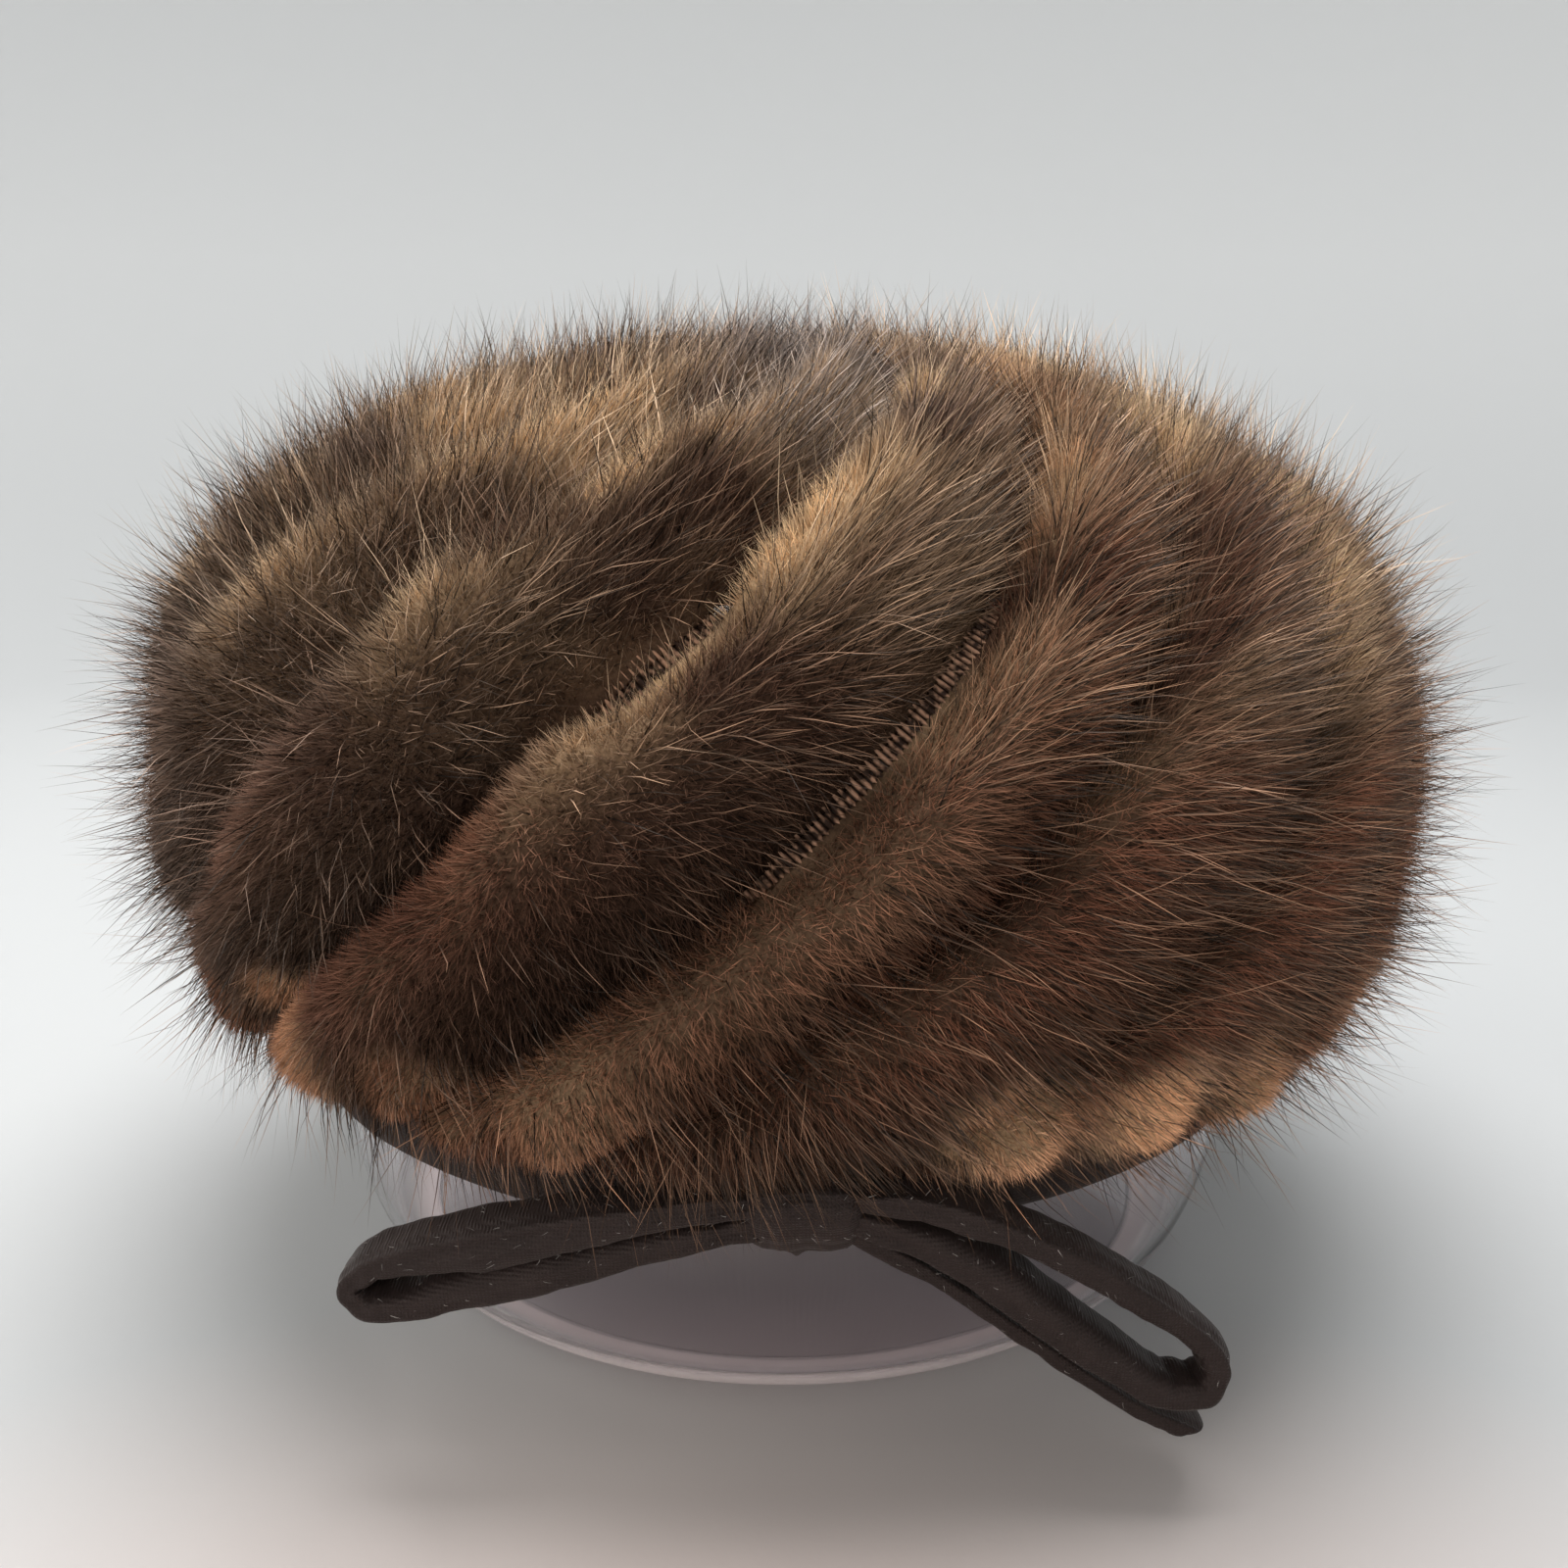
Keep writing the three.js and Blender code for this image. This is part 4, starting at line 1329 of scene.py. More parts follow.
def painted_shade_share(row, spots, z, ridge):
    """Painted shade: how dark the far side of a strip, its gullies and the fur under its ridge are."""
    side, blotch = spots["side"], spots["blotch"]
    upper = rise(z, *FUR_HEIGHTS["upper half"])
    across = side - PAINTED_SHADE["far_from"] + PAINTED_SHADE["blotch"] * blotch
    far_side = smooth(across / (PAINTED_SHADE["far_fade"] - PAINTED_SHADE["ridge_fade"] * ridge))
    far_side = PAINTED_SHADE["far"] * far_side * (1 - PAINTED_SHADE["less_above"] * upper**2)
    gully = rise(side, *FAR_GULLY) + ridge * fall(side, *NEAR_GULLY)
    under = PAINTED_SHADE["under_ridge"] * ridge * row["dark"] * fall(z, *FUR_HEIGHTS["dark below"])
    return row["dark"] * (far_side + PAINTED_SHADE["gully"] * gully) + under


def colour_pelt(mesh, row, spots):
    """Where the fur is pale, with painted light from above, red, dark by painted shade, or grey, partly by
    a painted sheen on the top.
    """
    azimuth, side = spots["azimuth"], spots["side"]
    radius, z, _, _ = read_meridian(spots["length"])
    ridge = row["ridge"] * ridge_by_height(z)
    by_bow = over_bow(spots, z)
    shown_pad = smooth(spots["pad"] * PAD_EDGE)

    turned = (np.degrees(azimuth) - GREY_SIDE["azimuth"]) / GREY_SIDE["spread"]
    on_grey_side = np.exp(-(turned**2))
    pale = pale_share(row, spots, z, ridge) + GREY_SIDE["pale"] * on_grey_side
    warm_velvet = RED["velvet"] * max(row["red"], 0) * velvet_at(row, side, z)

    lower = 1 - rise(z, *FUR_HEIGHTS["upper half"])
    red = smooth(1 - side / RED["width"]) * lower + RED["base"] + RED["blotch"] * spots["blotch"]
    # painted shade, also in the seam gaps and on the hair that hangs over the bow's knot
    dark = np.maximum(painted_shade_share(row, spots, z, ridge), PAINTED_SHADE["gap"] * spots["gap"])
    dark = np.maximum(dark, by_bow)

    # painted sheen: the flat top's front and middle greyer, as if the pale tent were reflected at a grazing
    # angle
    from_middle = (radius * np.sin(azimuth) - FRONT_TOP_PAINTED_SHEEN["x"]) / FRONT_TOP_PAINTED_SHEEN["half_width"]
    in_front = smooth((FRONT_TOP_PAINTED_SHEEN["y"] - radius * np.cos(azimuth)) / -FRONT_TOP_PAINTED_SHEEN["fade"])
    patch = np.exp(-(from_middle**2)) * in_front
    patch = patch * fall(radius, TOP_PAINTED_SHEEN_EDGE["radius"], TOP_PAINTED_SHEEN_EDGE["fade"])
    middle = fall(radius, MIDDLE_TOP_PAINTED_SHEEN["radius"], MIDDLE_TOP_PAINTED_SHEEN["fade"])
    grey = FRONT_TOP_PAINTED_SHEEN["share"] * np.maximum(middle, patch)
    grey = np.maximum(grey, GREY_SIDE["share"] * on_grey_side * (1 - shown_pad))
    shares = {
        "pale": np.maximum(np.maximum(pale, spots["tan"]), warm_velvet),
        # the guard hair's tips are paler with the same share of underfur colour and painted light
        "light_guard": pale * (1 - by_bow) * PALE["guard"],
        "red": np.maximum((red + row["red"]) * (1 - RED["by_bow"] * by_bow), shown_pad),
        "dark": dark * (1 - shown_pad),
        "grey": grey,
        "along": np.zeros_like(pale),
        "tone": np.full_like(pale, 0.5),
    }
    write_attributes(mesh, {name: np.clip(share, 0, 1) for name, share in shares.items()})


def make_fur(layer_tree):
    """Sixteen fur strips, each a pelt with its own hair."""
    pelt = fur_material("underfur pelt", PELT_COLOURS, PELT_FINISH)
    add_plush(pelt)
    down = fur_material("underfur hair", DOWN_COLOURS, DOWN_FINISH)
    guard = fur_material("guard hair", GUARD_COLOURS, GUARD_FINISH)
    materials = {"underfur": down, "guard hair": guard, "long hair": guard}
    tree = fur_tree(layer_tree, FUR_LAYERS, materials)
    numbers = range(1, len(STRIPS) + 1)
    return [grown(make_pelt(number, pelt), tree, {"Seed": number * 7}) for number in numbers]


def cloth_material(name, cloth):
    """A plain dark cloth with its weave, uneven dye and a soft sheen."""
    material, tree, shader = new_material(name)
    place = object_place(tree)
    patch = noise_at(tree, place, 150.0, 4.0)
    thread = noise_at(tree, place, 2600.0, 1.0)
    blend = maths(tree, "MULTIPLY_ADD", patch, 0.7, maths(tree, "MULTIPLY", thread, 0.5))
    blend = maths(tree, "SUBTRACT", blend, 0.1, clamp=True)
    dyed = mix_colour(tree, blend, cloth["colour"], cloth["fleck"])
    tree.links.new(dyed, shader.inputs["Base Color"])
    warp, weft = (waves_at(tree, place, cloth["weave_scale"], 1.2, way) for way in "XZ")
    weave = maths(tree, "MULTIPLY", warp, weft)
    relief = maths(tree, "MULTIPLY_ADD", thread, 0.6, weave)
    set_relief(tree, shader, relief, cloth["relief"], 0.00015)
    finish = {
        "Roughness": cloth["roughness"],
        "Sheen Weight": 0.05,
        "Sheen Roughness": 0.4,
        "Sheen Tint": (1.0, 0.86, 0.8),
        "Specular IOR Level": 0.22,
        "Specular Tint": (1.0, 0.88, 0.84),
    }
    set_finish(shader, finish)
    return material


def ribbed_material():
    """The crown's ground cloth: a dark satin with ribs, read from its own map, with painted shade in their
    gullies and a painted highlight on their crests, and patchily lighter.
    """
    material, tree, shader = new_material("ribbed ground cloth")
    cloth = add_node(tree, "ShaderNodeUVMap", uv_map="weave").outputs["UV"]
    rib = waves_at(tree, cloth, RIB_WAVES, 0.6, "X")
    patch = noise_at(tree, object_place(tree), GROUND_CLOTH["patch_scale"])
    colour = mix_colour(tree, rib, GROUND_CLOTH["gully"], GROUND_CLOTH["crest"])
    colour = mix_colour(tree, patch, colour, GROUND_CLOTH["crest"])
    tree.links.new(colour, shader.inputs["Base Color"])
    set_relief(tree, shader, rib, 0.8, 0.0004)
    set_finish(shader, GROUND_FINISH)
    return material


def satin_rib_material():
    """The ribs that show between strips, with a painted highlight and glints along their crests."""
    material, tree, shader = new_material("satin ribs")
    fleck = noise_at(tree, object_place(tree), SATIN_RIB["fleck_scale"])
    # painted highlight: lighter and glinting along the crests
    lit = maths(tree, "POWER", read_attribute(tree, "crest"), 3.0)
    glint = maths(tree, "MULTIPLY", lit, maths(tree, "MULTIPLY_ADD", fleck, 5.0, -2.1, clamp=True))
    colour = mix_colour(tree, glint, SATIN_RIB["dark"], SATIN_RIB["lit"])
    tree.links.new(colour, shader.inputs["Base Color"])
    set_finish(shader, SATIN_FINISH)
    return material


def mixed_shaders(tree, share, first, second):
    return add_node(tree, "ShaderNodeMixShader", {0: share, 1: first, 2: second}).outputs[0]


def plastic_material():
    """Clear plastic that lets lamp light through to the floor, with a painted pale glow and dark line at
    the foot ring standing in for the refraction in its thick rim.
    """
    material, tree, shader = new_material("clear plastic")
    set_finish(shader, CLEAR_FINISH)
    place = object_place(tree)
    set_relief(tree, shader, noise_at(tree, place, 28.0, 1.0), 0.12, 0.002)
    clear = add_node(tree, "ShaderNodeBsdfTransparent", {"Color": CLEAR_SHADOW}).outputs[0]
    path = add_node(tree, "ShaderNodeLightPath").outputs
    shadow = maths(tree, "MAXIMUM", path["Is Shadow Ray"], path["Is Diffuse Ray"])
    high = maths(tree, "DIVIDE", parts_of(tree, place)["Z"], FOOT_BAND["height"] * MM)
    low = maths(tree, "SUBTRACT", 1.0, high, clamp=True)
    radius = length_of(tree, vector_maths(tree, "MULTIPLY", place, (1.0, 1.0, 0.0)))
    near_edge = maths(tree, "SUBTRACT", radius, FOOT_BAND["inner_radius"] * MM)
    in_band = maths(tree, "MULTIPLY", near_edge, FOOT_BAND["sharpness"], clamp=True)
    from_line = maths(tree, "ABSOLUTE", maths(tree, "MULTIPLY", near_edge, FOOT_BAND["line_sharpness"]))
    line = maths(tree, "SUBTRACT", 1.0, from_line, clamp=True)
    # painted glow and painted edge line of the refracting foot
    painted_glow = maths(tree, "MULTIPLY", maths(tree, "POWER", low, 0.5), maths(tree, "MULTIPLY", in_band, 0.82))
    painted_line = maths(tree, "MULTIPLY", line, maths(tree, "MULTIPLY", low, 0.55))
    body = shader.outputs[0]
    for share, finish in ((painted_glow, FOOT_PAINTED_GLOW), (painted_line, FOOT_PAINTED_EDGE_LINE)):
        over = add_node(tree, "ShaderNodeBsdfPrincipled", finish).outputs[0]
        body = mixed_shaders(tree, share, body, over)
    both = mixed_shaders(tree, shadow, body, clear)
    tree.links.new(both, tree.nodes["Material Output"].inputs["Surface"])
    return material


def crown_profile(steps, offset, start=0.0, end=None):
    """The crown's outline set off by a distance, from one length to another, as (radius, z)."""
    length = np.linspace(start, MERIDIAN["total"] if end is None else end, steps + 1)
    radius, z, along_r, along_z = read_meridian(length)
    return np.stack([radius + along_z * offset, z - along_r * offset], axis=1)


def make_crown():
    """The stiff dome of ribbed cloth, open below, with its rim turned."""
    outside = crown_profile(CROWN_ROWS, 0.0)
    inside = crown_profile(CROWN_ROWS, -CROWN_WALL)[::-1]
    outside[-1, 0] = inside[0, 0] = 0.0
    inside[-1, 1] = RIM_Z
    fold = [(inside[-1, 0] + RIM_FOLD, RIM_Z), (outside[0, 0] - RIM_FOLD, RIM_Z)]
    profile = np.concatenate([outside, inside, np.array(fold)])
    points, faces = turned_profile(profile, CLOTH_FACETS)
    made = mesh_object("crown_cloth", points, faces, ribbed_material())
    weave = made.data.uv_layers.new(name="weave")
    ribs = round(2 * math.pi * CROWN["radius"] / RIB_PITCH)
    place = points[[loop.vertex_index for loop in made.data.loops]]
    turn = np.arctan2(place[:, 0], -place[:, 1]) / (2 * math.pi)
    face_of = np.repeat(np.arange(len(faces)), [len(face) for face in faces])
    start = np.zeros(len(faces))
    np.maximum.at(start, face_of, turn)
    turn = np.where((start[face_of] - turn) > 0.5, turn + 1, turn)
    uv = np.stack([turn * ribs, place[:, 2] / RIB_PITCH], axis=1)
    weave.data.foreach_set("uv", uv.astype(np.float32).ravel())
    return made


def rib_tree(material):
    """Sets a small half-round rib on every point, lying across its seam."""
    inputs = [
        ("Places", "Geometry", None),
        ("Length", "Float", 0.006),
        ("Radius", "Float", 0.0005),
        ("Sides", "Int", 6),
    ]
    tree, given = new_tree("seam ribs", inputs, "Ribs")
    plate, spot = narrow_grid(tree, given["Sides"])
    angle = maths(tree, "MULTIPLY", spot["Y"], math.pi)
    across = maths(tree, "MULTIPLY", spot["X"], given["Length"])
    width = maths(tree, "MULTIPLY", maths(tree, "SINE", angle), given["Radius"])
    tall = maths(tree, "MULTIPLY", maths(tree, "COSINE", angle), given["Radius"])
    # the crest share marks where the painted highlight goes
    plate = stored(tree, plate, "crest", maths(tree, "ABSOLUTE", maths(tree, "COSINE", angle)))
    bent = {"Geometry": plate, "Position": combined(tree, across, width, tall)}
    placing = {
        "Points": add_node(tree, "GeometryNodeMeshToPoints", {"Mesh": given["Places"]}).outputs[0],
        "Instance": add_node(tree, "GeometryNodeSetPosition", bent).outputs[0],
        "Rotation": facing_way(
            tree, named(tree, "outwards", "FLOAT_VECTOR"), named(tree, "across", "FLOAT_VECTOR")
        ),
    }
    return finish_tree(tree, set_out(tree, placing, material))


def make_seam_ribs():
    """Ribs of the ground cloth, where a seam between two strips lies open."""
    places, outward, across = [], [], []
    for stretch in BARE_SEAMS:
        first, last = stretch["start"] - SEAM_RIB["beyond"], stretch["end"] + SEAM_RIB["beyond"]
        length = np.arange(first, last, SEAM_RIB_STEP)
        azimuth = seam_azimuth(stretch["strip"], length)
        line = over_crown(azimuth, length, SEAM_RIB["height"])
        run = np.concatenate([[0], np.cumsum(np.linalg.norm(np.diff(line, axis=0), axis=1))])
        spots = np.arange(0, run[-1], SEAM_RIB["pitch"])
        length = np.interp(spots, run, length)
        azimuth = seam_azimuth(stretch["strip"], length)
        line = over_crown(azimuth, length, SEAM_RIB["height"])
        out, _, _ = crown_axes(azimuth, length)
        along = unit(np.gradient(line, axis=0))
        places.append(line)
        outward.append(out)
        across.append(unit(np.cross(out, along)))
    mesh = bpy.data.meshes.new("seam_ribs")
    mesh.from_pydata((np.concatenate(places) * MM).tolist(), [], [])
    made = new_object("seam_ribs", mesh)
    write_attribute(mesh, "outwards", np.concatenate(outward))
    write_attribute(mesh, "across", np.concatenate(across))
    tree = rib_tree(satin_rib_material())
    values = {
        "Length": SEAM_RIB["length"] * MM,
        "Radius": SEAM_RIB["radius"] * MM,
        "Sides": SEAM_RIB["sides"],
    }
    made = grown(made, tree, values)
    made.data.shade_smooth()
    return made


def mark_for_fibres(mesh, along):
    """Gives a cloth mesh what the hair layer reads: every part covered, fibres lying down."""
    normals = np.zeros(len(mesh.vertices) * 3, np.float32)
    mesh.vertices.foreach_get("normal", normals)
    whole = np.ones(len(mesh.vertices))
    made = {
        "upright": normals.reshape(-1, 3) * 0.5,
        "comb": along,
        "guard_cover": whole,
        "guard_nap": whole,
        "tone": whole * 0.5,
    }
    write_attributes(mesh, made)


def make_band(material, layer_tree):
    """The cloth band round the rim, its lower edge turned under, with a short nap."""
    top = length_at_z(BAND_TOP_Z)
    outside = crown_profile(BAND_ROWS, SEAT_GAP + BAND_WALL, 0.0, top)
    inside = crown_profile(BAND_ROWS, SEAT_GAP, 0.0, top)[::-1]
    outside[0, 1] = inside[-1, 1] = BAND_BOTTOM_Z + BAND_EDGE["up"]
    turned_edge = [
        (inside[-1, 0] + BAND_EDGE["in"], BAND_BOTTOM_Z + BAND_EDGE["rise"]),
        (outside[0, 0] - BAND_EDGE["out"], BAND_BOTTOM_Z),
    ]
    profile = np.concatenate([outside, inside, np.array(turned_edge)])
    points, faces = turned_profile(profile, CLOTH_FACETS)
    ease = lumps(points, BAND_SLACK["size"], BAND_SLACK["seed"])[:, None]
    soft = ease * unit(points * (1, 1, 0)) * BAND_SLACK["height"]
    made = mesh_object("rim_band_cloth", points + soft, faces, material)
    around = unit(np.stack([-points[:, 1], points[:, 0], np.zeros(len(points))], axis=1))
    mark_for_fibres(made.data, around)
    fibre = plain_fibre("band nap", NAP_COLOUR)
    tree = fur_tree(layer_tree, BAND_LAYERS, {"nap": fibre})
    return grown(made, tree, {"Seed": 2})


def plain_fibre(name, colour):
    """A dull fibre, some of them darker than others."""
    material, tree, shader = new_material(name)
    tone = read_attribute(tree, "tone")
    dark = tuple(0.4 * c for c in colour)
    tree.links.new(mix_colour(tree, tone, dark, colour), shader.inputs["Base Color"])
    shader.inputs["Roughness"].default_value = 0.8
    return material


def bowl_radius(z):
    """The outer radius of the bowl at a height."""
    share = min(z / STAND_ROUND_HEIGHT, 1)
    rounding = (1 - (1 - share) ** STAND_ROUND_EXPONENT) ** (1 / STAND_ROUND_EXPONENT)
    return STAND_BASE_RADIUS + (STAND_RADIUS - STAND_BASE_RADIUS) * rounding


def make_bowl():
    """The clear bowl that carries the hat: flat base, thick rounded foot, thin upright wall."""
    rises = STAND_ROUND_HEIGHT * np.linspace(0, 1, STAND_ROUND_STEPS) ** 2
    rounding = STAND_LIP["rounding"]
    inner, lip_z = STAND_RADIUS - STAND_WALL, STAND_TOP_Z - STAND_LIP["edge"]
    wall_z = [*STAND_WALL_Z, STAND_TOP_Z - STAND_LIP["depth"]]
    outside = [(0.0, 0.0), (STAND_FLAT_RADIUS, 0.0), (STAND_BASE_RADIUS - rounding, 0.0)]
    outside += [(bowl_radius(z), z) for z in rises]
    outside += [(STAND_RADIUS, z) for z in wall_z]
    lip = [(STAND_RADIUS - rounding, lip_z), (inner + rounding, lip_z)]
    inside = [(inner, z) for z in wall_z[::-1]]
    for z in rises[::-1]:
        if z > STAND_WALL + STAND_FOOT["clear"]:
            thick = STAND_FOOT["extra"] * math.exp(-z / STAND_FOOT["height"])
            inside.append((bowl_radius(z) - STAND_WALL - thick, z))
    foot = inside[-1][0]
    inside += [(foot - STAND_FOOT["extra"], STAND_WALL + 0.05), (foot - STAND_FOOT["height"], STAND_WALL)]
    inside += [(STAND_FLAT_RADIUS, STAND_WALL), (0.0, STAND_WALL)]
    points, faces = turned_profile(outside + lip + inside, STAND_FACETS)
    return mesh_object("clear_bowl", points, faces, plastic_material())


def curve_points(line, shares):
    """Points of a centripetal curve through a table of centre points."""
    fixed = np.array([row[:3] for row in line], float)
    first = 2 * fixed[0] - fixed[1]
    last = 2 * fixed[-1] - fixed[-2]
    padded = np.concatenate([[first], fixed, [last]])
    found = []
    for share in shares:
        spot = share * (len(fixed) - 1)
        k = min(int(spot), len(fixed) - 2)
        weight = spot - k
        p0, p1, p2, p3 = padded[k : k + 4]
        gap0, gap1, gap2 = (np.linalg.norm(b - a) ** 0.5 for a, b in ((p0, p1), (p1, p2), (p2, p3)))
        leave = ((p1 - p0) / gap0 - (p2 - p0) / (gap0 + gap1) + (p2 - p1) / gap1) * gap1
        arrive = ((p2 - p1) / gap1 - (p3 - p1) / (gap1 + gap2) + (p3 - p2) / gap2) * gap1
        square = -3 * p1 + 3 * p2 - 2 * leave - arrive
        cube = 2 * p1 - 2 * p2 + leave + arrive
        found.append(p1 + leave * weight + square * weight**2 + cube * weight**3)
    return np.array(found)


def along_line(centre):
    """The direction of a line at its points, and how sharply it turns there."""
    step = np.gradient(centre, axis=0)
    along = unit(step)
    turning = np.linalg.norm(np.gradient(along, axis=0), axis=1) / np.linalg.norm(step, axis=1)
    return along, turning


def superround(value):
    """A sine or cosine of a section that is squarer than round."""
    return np.sign(value) * np.abs(value) ** (2 / TUBE_SQUARENESS)


def sewn_seam(angle, outer):
    """The welt of the tube's sewn seam and the grooves on its two sides."""
    seam = math.pi - TUBE_SEAM["turn"] * outer
    away = np.angle(np.exp(1j * (angle - seam)))
    welt = np.exp(-((away / TUBE_SEAM["width"]) ** 2))
    groove = np.exp(-(((np.abs(away) - TUBE_GROOVES["from_seam"]) / TUBE_GROOVES["width"]) ** 2))
    return TUBE_SEAM["height"] * welt - TUBE_GROOVES["depth"] * groove


def make_tube(row, material, tree):
    """One length of the bow's sewn cloth tube, with its seam line, sag and creases."""
    shares = np.linspace(0, 1, row["steps"] + 1)
    centre = curve_points(row["line"], shares)
    along, turning = along_line(centre)
    across = np.array([0.0, 1.0, 0.0])
    normal = unit(np.cross(along, across))[:, None, :]
    knots = np.linspace(0, 1, len(row["line"]))
    sizes = np.interp(shares, knots, [spot[3] for spot in row["line"]])
    swells = np.interp(shares, knots, [spot[4] for spot in row["line"]])
    angle = np.linspace(0, 2 * math.pi, TUBE_POINTS, endpoint=False)
    side, face = superround(np.cos(angle)), superround(np.sin(angle))
    half_width = 0.5 * TUBE_WIDTH * sizes[:, None]
    half_thick = 0.5 * row["thickness"] * sizes[:, None]
    flat = centre[:, None, :] + (half_width * side)[..., None] * across
    flat = flat + (half_thick * face)[..., None] * normal
    outward = unit((side / half_width)[..., None] * across + (face / half_thick)[..., None] * normal)

    run = np.cumsum(np.linalg.norm(np.diff(centre, axis=0, prepend=centre[:1]), axis=1))[:, None]
    bent = smooth(turning / TUBE_CREASES["full_bend"])[:, None]
    pinched = fall(sizes, TUBE_GATHERS["below"], TUBE_GATHERS["fade"])[:, None]
    uneven = TUBE_SAG["least"] + TUBE_SAG["uneven"] * lumps(flat, TUBE_SAG["size"], TUBE_SAG["seed"])
    sag = -TUBE_SAG["depth"] * np.exp(-((np.abs(side) / TUBE_SAG["width"]) ** 2)) * uneven
    creases = np.sin(run / TUBE_CREASES["spacing"] + TUBE_CREASES["wave"] * np.sin(angle * 2))
    inside = TUBE_CREASES["outside"] + TUBE_CREASES["inside"] * (face * row["outer"] < 0)
    creases = creases * TUBE_CREASES["height"] * bent * inside
    gathers = np.sin(angle * TUBE_GATHERS["round"] + run * TUBE_GATHERS["twist"])
    gathers = gathers * TUBE_GATHERS["height"] * pinched
    rumple = sum(fold["height"] * lumps(flat, fold["size"], fold["seed"]) for fold in TUBE_RUMPLE)
    inward = swells[:, None] * np.clip(-face * row["outer"], 0, 1)
    relief = sewn_seam(angle, row["outer"]) + sag + creases + gathers + rumple + inward
    rings = flat + outward * relief[..., None]
    near_end = rise(shares, *TUBE_SLANT)[:, None, None]
    rings = rings + near_end * along[-1] * row["slant"] * np.sin(angle)[None, :, None]
    points, faces = closed_loft(rings)
    made = mesh_object(row["name"] + "_cloth", points, faces, material)
    lie = np.concatenate([np.repeat(along, TUBE_POINTS, axis=0), along[:1], along[-1:]])
    mark_for_fibres(made.data, lie)
    return grown(made, tree, {"Seed": row["lint"]})


def make_knot(material, tree):
    """The knot: cloth wrapped once round the loops, pleated along its width."""
    table_x, table_depth, table_height = zip(*KNOT_SECTIONS)
    x = np.linspace(table_x[0], table_x[-1], KNOT_STEPS)
    depth = np.interp(x, table_x, table_depth)
    height = np.interp(x, table_x, table_height)
    angle = np.linspace(0, 2 * math.pi, KNOT_POINTS, endpoint=False)
    wander = angle[None, :] * KNOT_PLEATS + 0.5 * np.sin(x * 0.6)[:, None]
    pleat = 1 - KNOT_PLEAT_DEPTH * (1 - np.abs(np.sin(wander)))
    rise = KNOT_HALF_HEIGHT * height[:, None] * pleat * np.sin(angle)
    out = KNOT_HALF_DEPTH * depth[:, None] * pleat * np.cos(angle)
    wide = np.repeat(x[:, None], len(angle), axis=1)
    rings = np.stack([wide, KNOT_CENTRE_Y + out - KNOT_LEAN * rise, KNOT_CENTRE_Z + rise], axis=-1)
    middle = np.array([0.0, KNOT_CENTRE_Y, KNOT_CENTRE_Z])
    away = unit((rings - middle) * (0.2, 1, 1))
    lump = KNOT_LUMP["height"] * lumps(rings, KNOT_LUMP["size"], KNOT_LUMP["seed"])
    rings = rings + away * lump[..., None]
    below = np.clip(-np.sin(angle), 0, 1) ** KNOT_NUB["sharpness"]
    nub = np.exp(-(((x - KNOT_NUB["x"]) / KNOT_NUB["half_width"]) ** 2))[:, None] * below
    rings[..., 2] -= KNOT_NUB["drop"] * nub
    points, faces = closed_loft(rings)
    made = mesh_object("bow_knot_cloth", points, faces, material)
    mark_for_fibres(made.data, np.tile((1.0, 0.0, 0.0), (len(points), 1)))
    return grown(made, tree, {"Seed": 4})


def make_camera():
    """The camera of the photograph."""
    lens = bpy.data.cameras.new("camera")
    lens.lens = CAMERA_LENS
    lens.sensor_width = CAMERA_SENSOR
    lens.clip_start = 0.01
    camera = new_object("camera", lens)
    camera.location = CAMERA_PLACE
    camera.rotation_euler = (math.radians(90 - CAMERA_PITCH_DOWN), 0, 0)
    bpy.context.scene.camera = camera


def make_light():
    """Even light from the tent and three soft lamps."""
    world = bpy.data.worlds.new("tent light")
    bpy.context.scene.world = world
    world.use_nodes = True
    background = world.node_tree.nodes["Background"]
    background.inputs["Color"].default_value = (*WORLD_COLOUR, 1)
    background.inputs["Strength"].default_value = WORLD_STRENGTH
    for name, place, size, power, colour in LAMPS:
        lamp = bpy.data.lights.new(name, "AREA")
        lamp.shape = "DISK"
        lamp.size = size
        lamp.energy = power
        lamp.color = colour
        made = new_object(name, lamp)
        made.location = place
        made.rotation_euler = (Vector(LAMP_AIM) - Vector(place)).to_track_quat("-Z", "Y").to_euler()


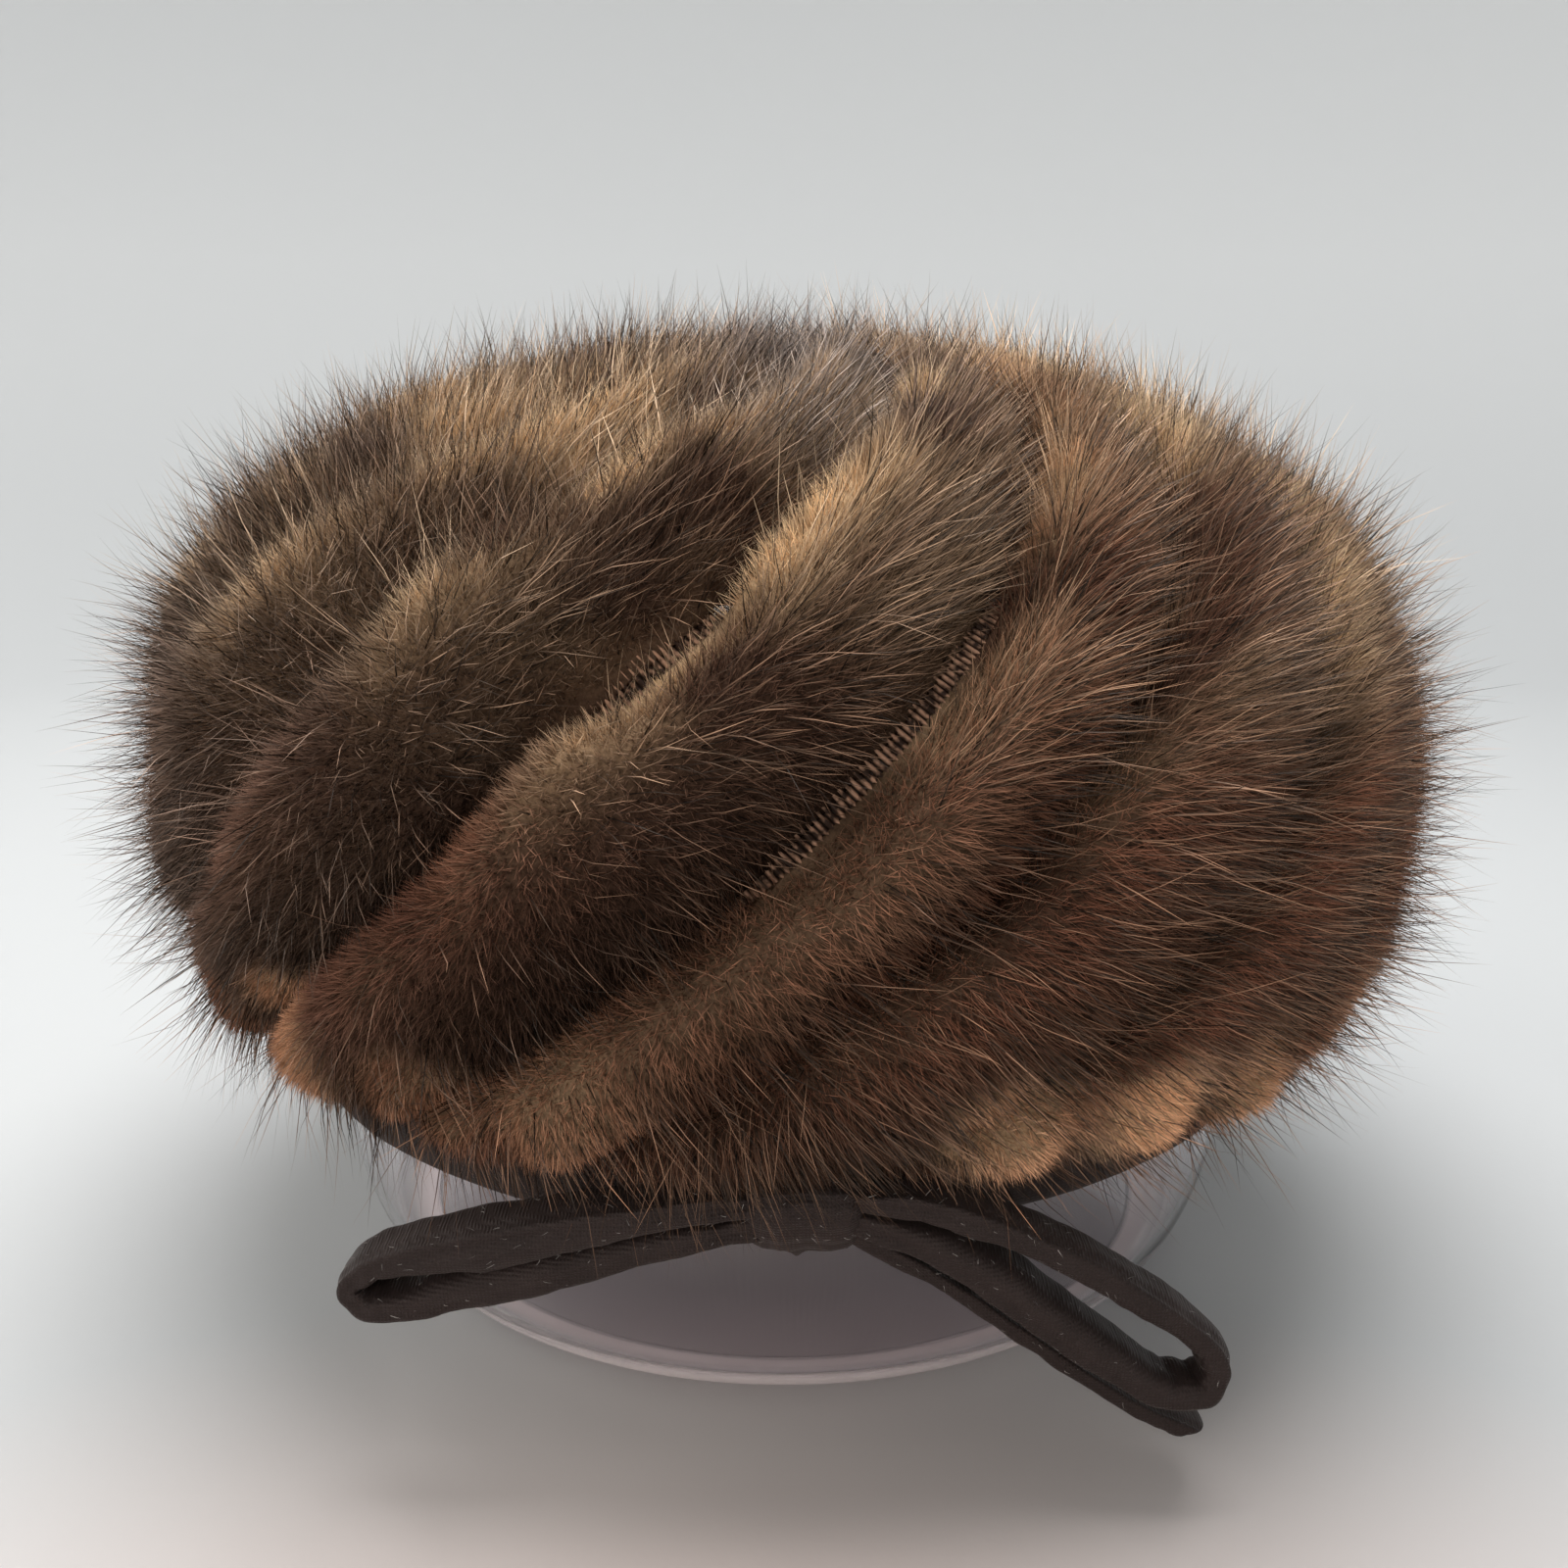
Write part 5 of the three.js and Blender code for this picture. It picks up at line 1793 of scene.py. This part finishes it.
def paper_material():
    """Pale paper, a little lighter on the wall, with painted warm bounce light from the fur on the floor
    before the hat.
    """
    material, tree, shader = new_material("tent paper")
    place = object_place(tree)
    set_relief(tree, shader, noise_at(tree, place, 900.0), 0.02, 0.001)
    wall = maths(tree, "MULTIPLY", parts_of(tree, place)["Z"], 4.0, clamp=True)
    before = vector_maths(tree, "SUBTRACT", place, PAINTED_WARM_BOUNCE["middle"])
    away = length_of(tree, vector_maths(tree, "MULTIPLY", before, PAINTED_WARM_BOUNCE["narrowing"]))
    # painted warm bounce light from the fur on the floor, strongest just before the hat
    warm = maths(tree, "SUBTRACT", 1.0, away, clamp=True)
    paper = mix_colour(tree, wall, FLOOR_PAPER, WALL_PAPER)
    tree.links.new(mix_colour(tree, warm, paper, PAINTED_WARM_BOUNCE["colour"]), shader.inputs["Base Color"])
    tree.links.new(maths(tree, "MULTIPLY_ADD", wall, 0.5, 0.3), shader.inputs["Roughness"])
    shader.inputs["Specular IOR Level"].default_value = 0.45
    return material


def make_tent():
    """A pale round sweep: the floor and the backdrop in one, seen from inside."""
    floor_z, bend = TENT["floor_z"], TENT["bend"]
    inner = TENT["radius"] - bend
    profile = [(TENT["flat_radius"], floor_z), (inner, floor_z)]
    for k in range(1, TENT_STEPS + 1):
        angle = math.pi / 2 * k / TENT_STEPS
        profile.append((inner + bend * math.sin(angle), floor_z + bend * (1 - math.cos(angle))))
    profile.append((TENT["radius"], bend + TENT["wall"]))
    turns = [2 * math.pi * j / TENT_FACETS for j in range(TENT_FACETS)]
    points = [(0.0, 0.0, floor_z)]
    for radius, z in profile:
        points += [(radius * math.cos(turn), radius * math.sin(turn), z) for turn in turns]
    faces = [(0, 1 + j, 1 + (j + 1) % TENT_FACETS) for j in range(TENT_FACETS)]
    faces += [face[::-1] for face in loft_faces(len(profile), TENT_FACETS, first=1)]
    mesh_object("tent", points, faces, paper_material())


def settle(piece, node):
    """The piece stands for its CAD node and moves with the hat."""
    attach(piece, ROOT)
    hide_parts(node)


def main():
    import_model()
    bpy.context.scene.view_settings.view_transform = "Standard"
    make_camera()
    make_light()
    make_tent()
    layer_tree = hair_layer_tree()
    for number, strip in enumerate(make_fur(layer_tree), start=1):
        settle(strip, f"fur_strip_{number:02d}")
    settle(make_crown(), "crown")
    ribs = make_seam_ribs()
    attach(ribs, ROOT)
    band = make_band(cloth_material("band cloth", BAND_CLOTH), layer_tree)
    settle(band, "rim_band")
    settle(make_bowl(), "stand")
    bow_cloth = cloth_material("bow cloth", BOW_CLOTH)
    lint_tree = fur_tree(layer_tree, LINT_LAYERS, {"lint": plain_fibre("lint", LINT_COLOUR)})
    for row in BOW_TUBES:
        tube = make_tube(row, bow_cloth, lint_tree)
        settle(tube, row["name"])
    knot = make_knot(bow_cloth, lint_tree)
    settle(knot, "bow_knot")


main()
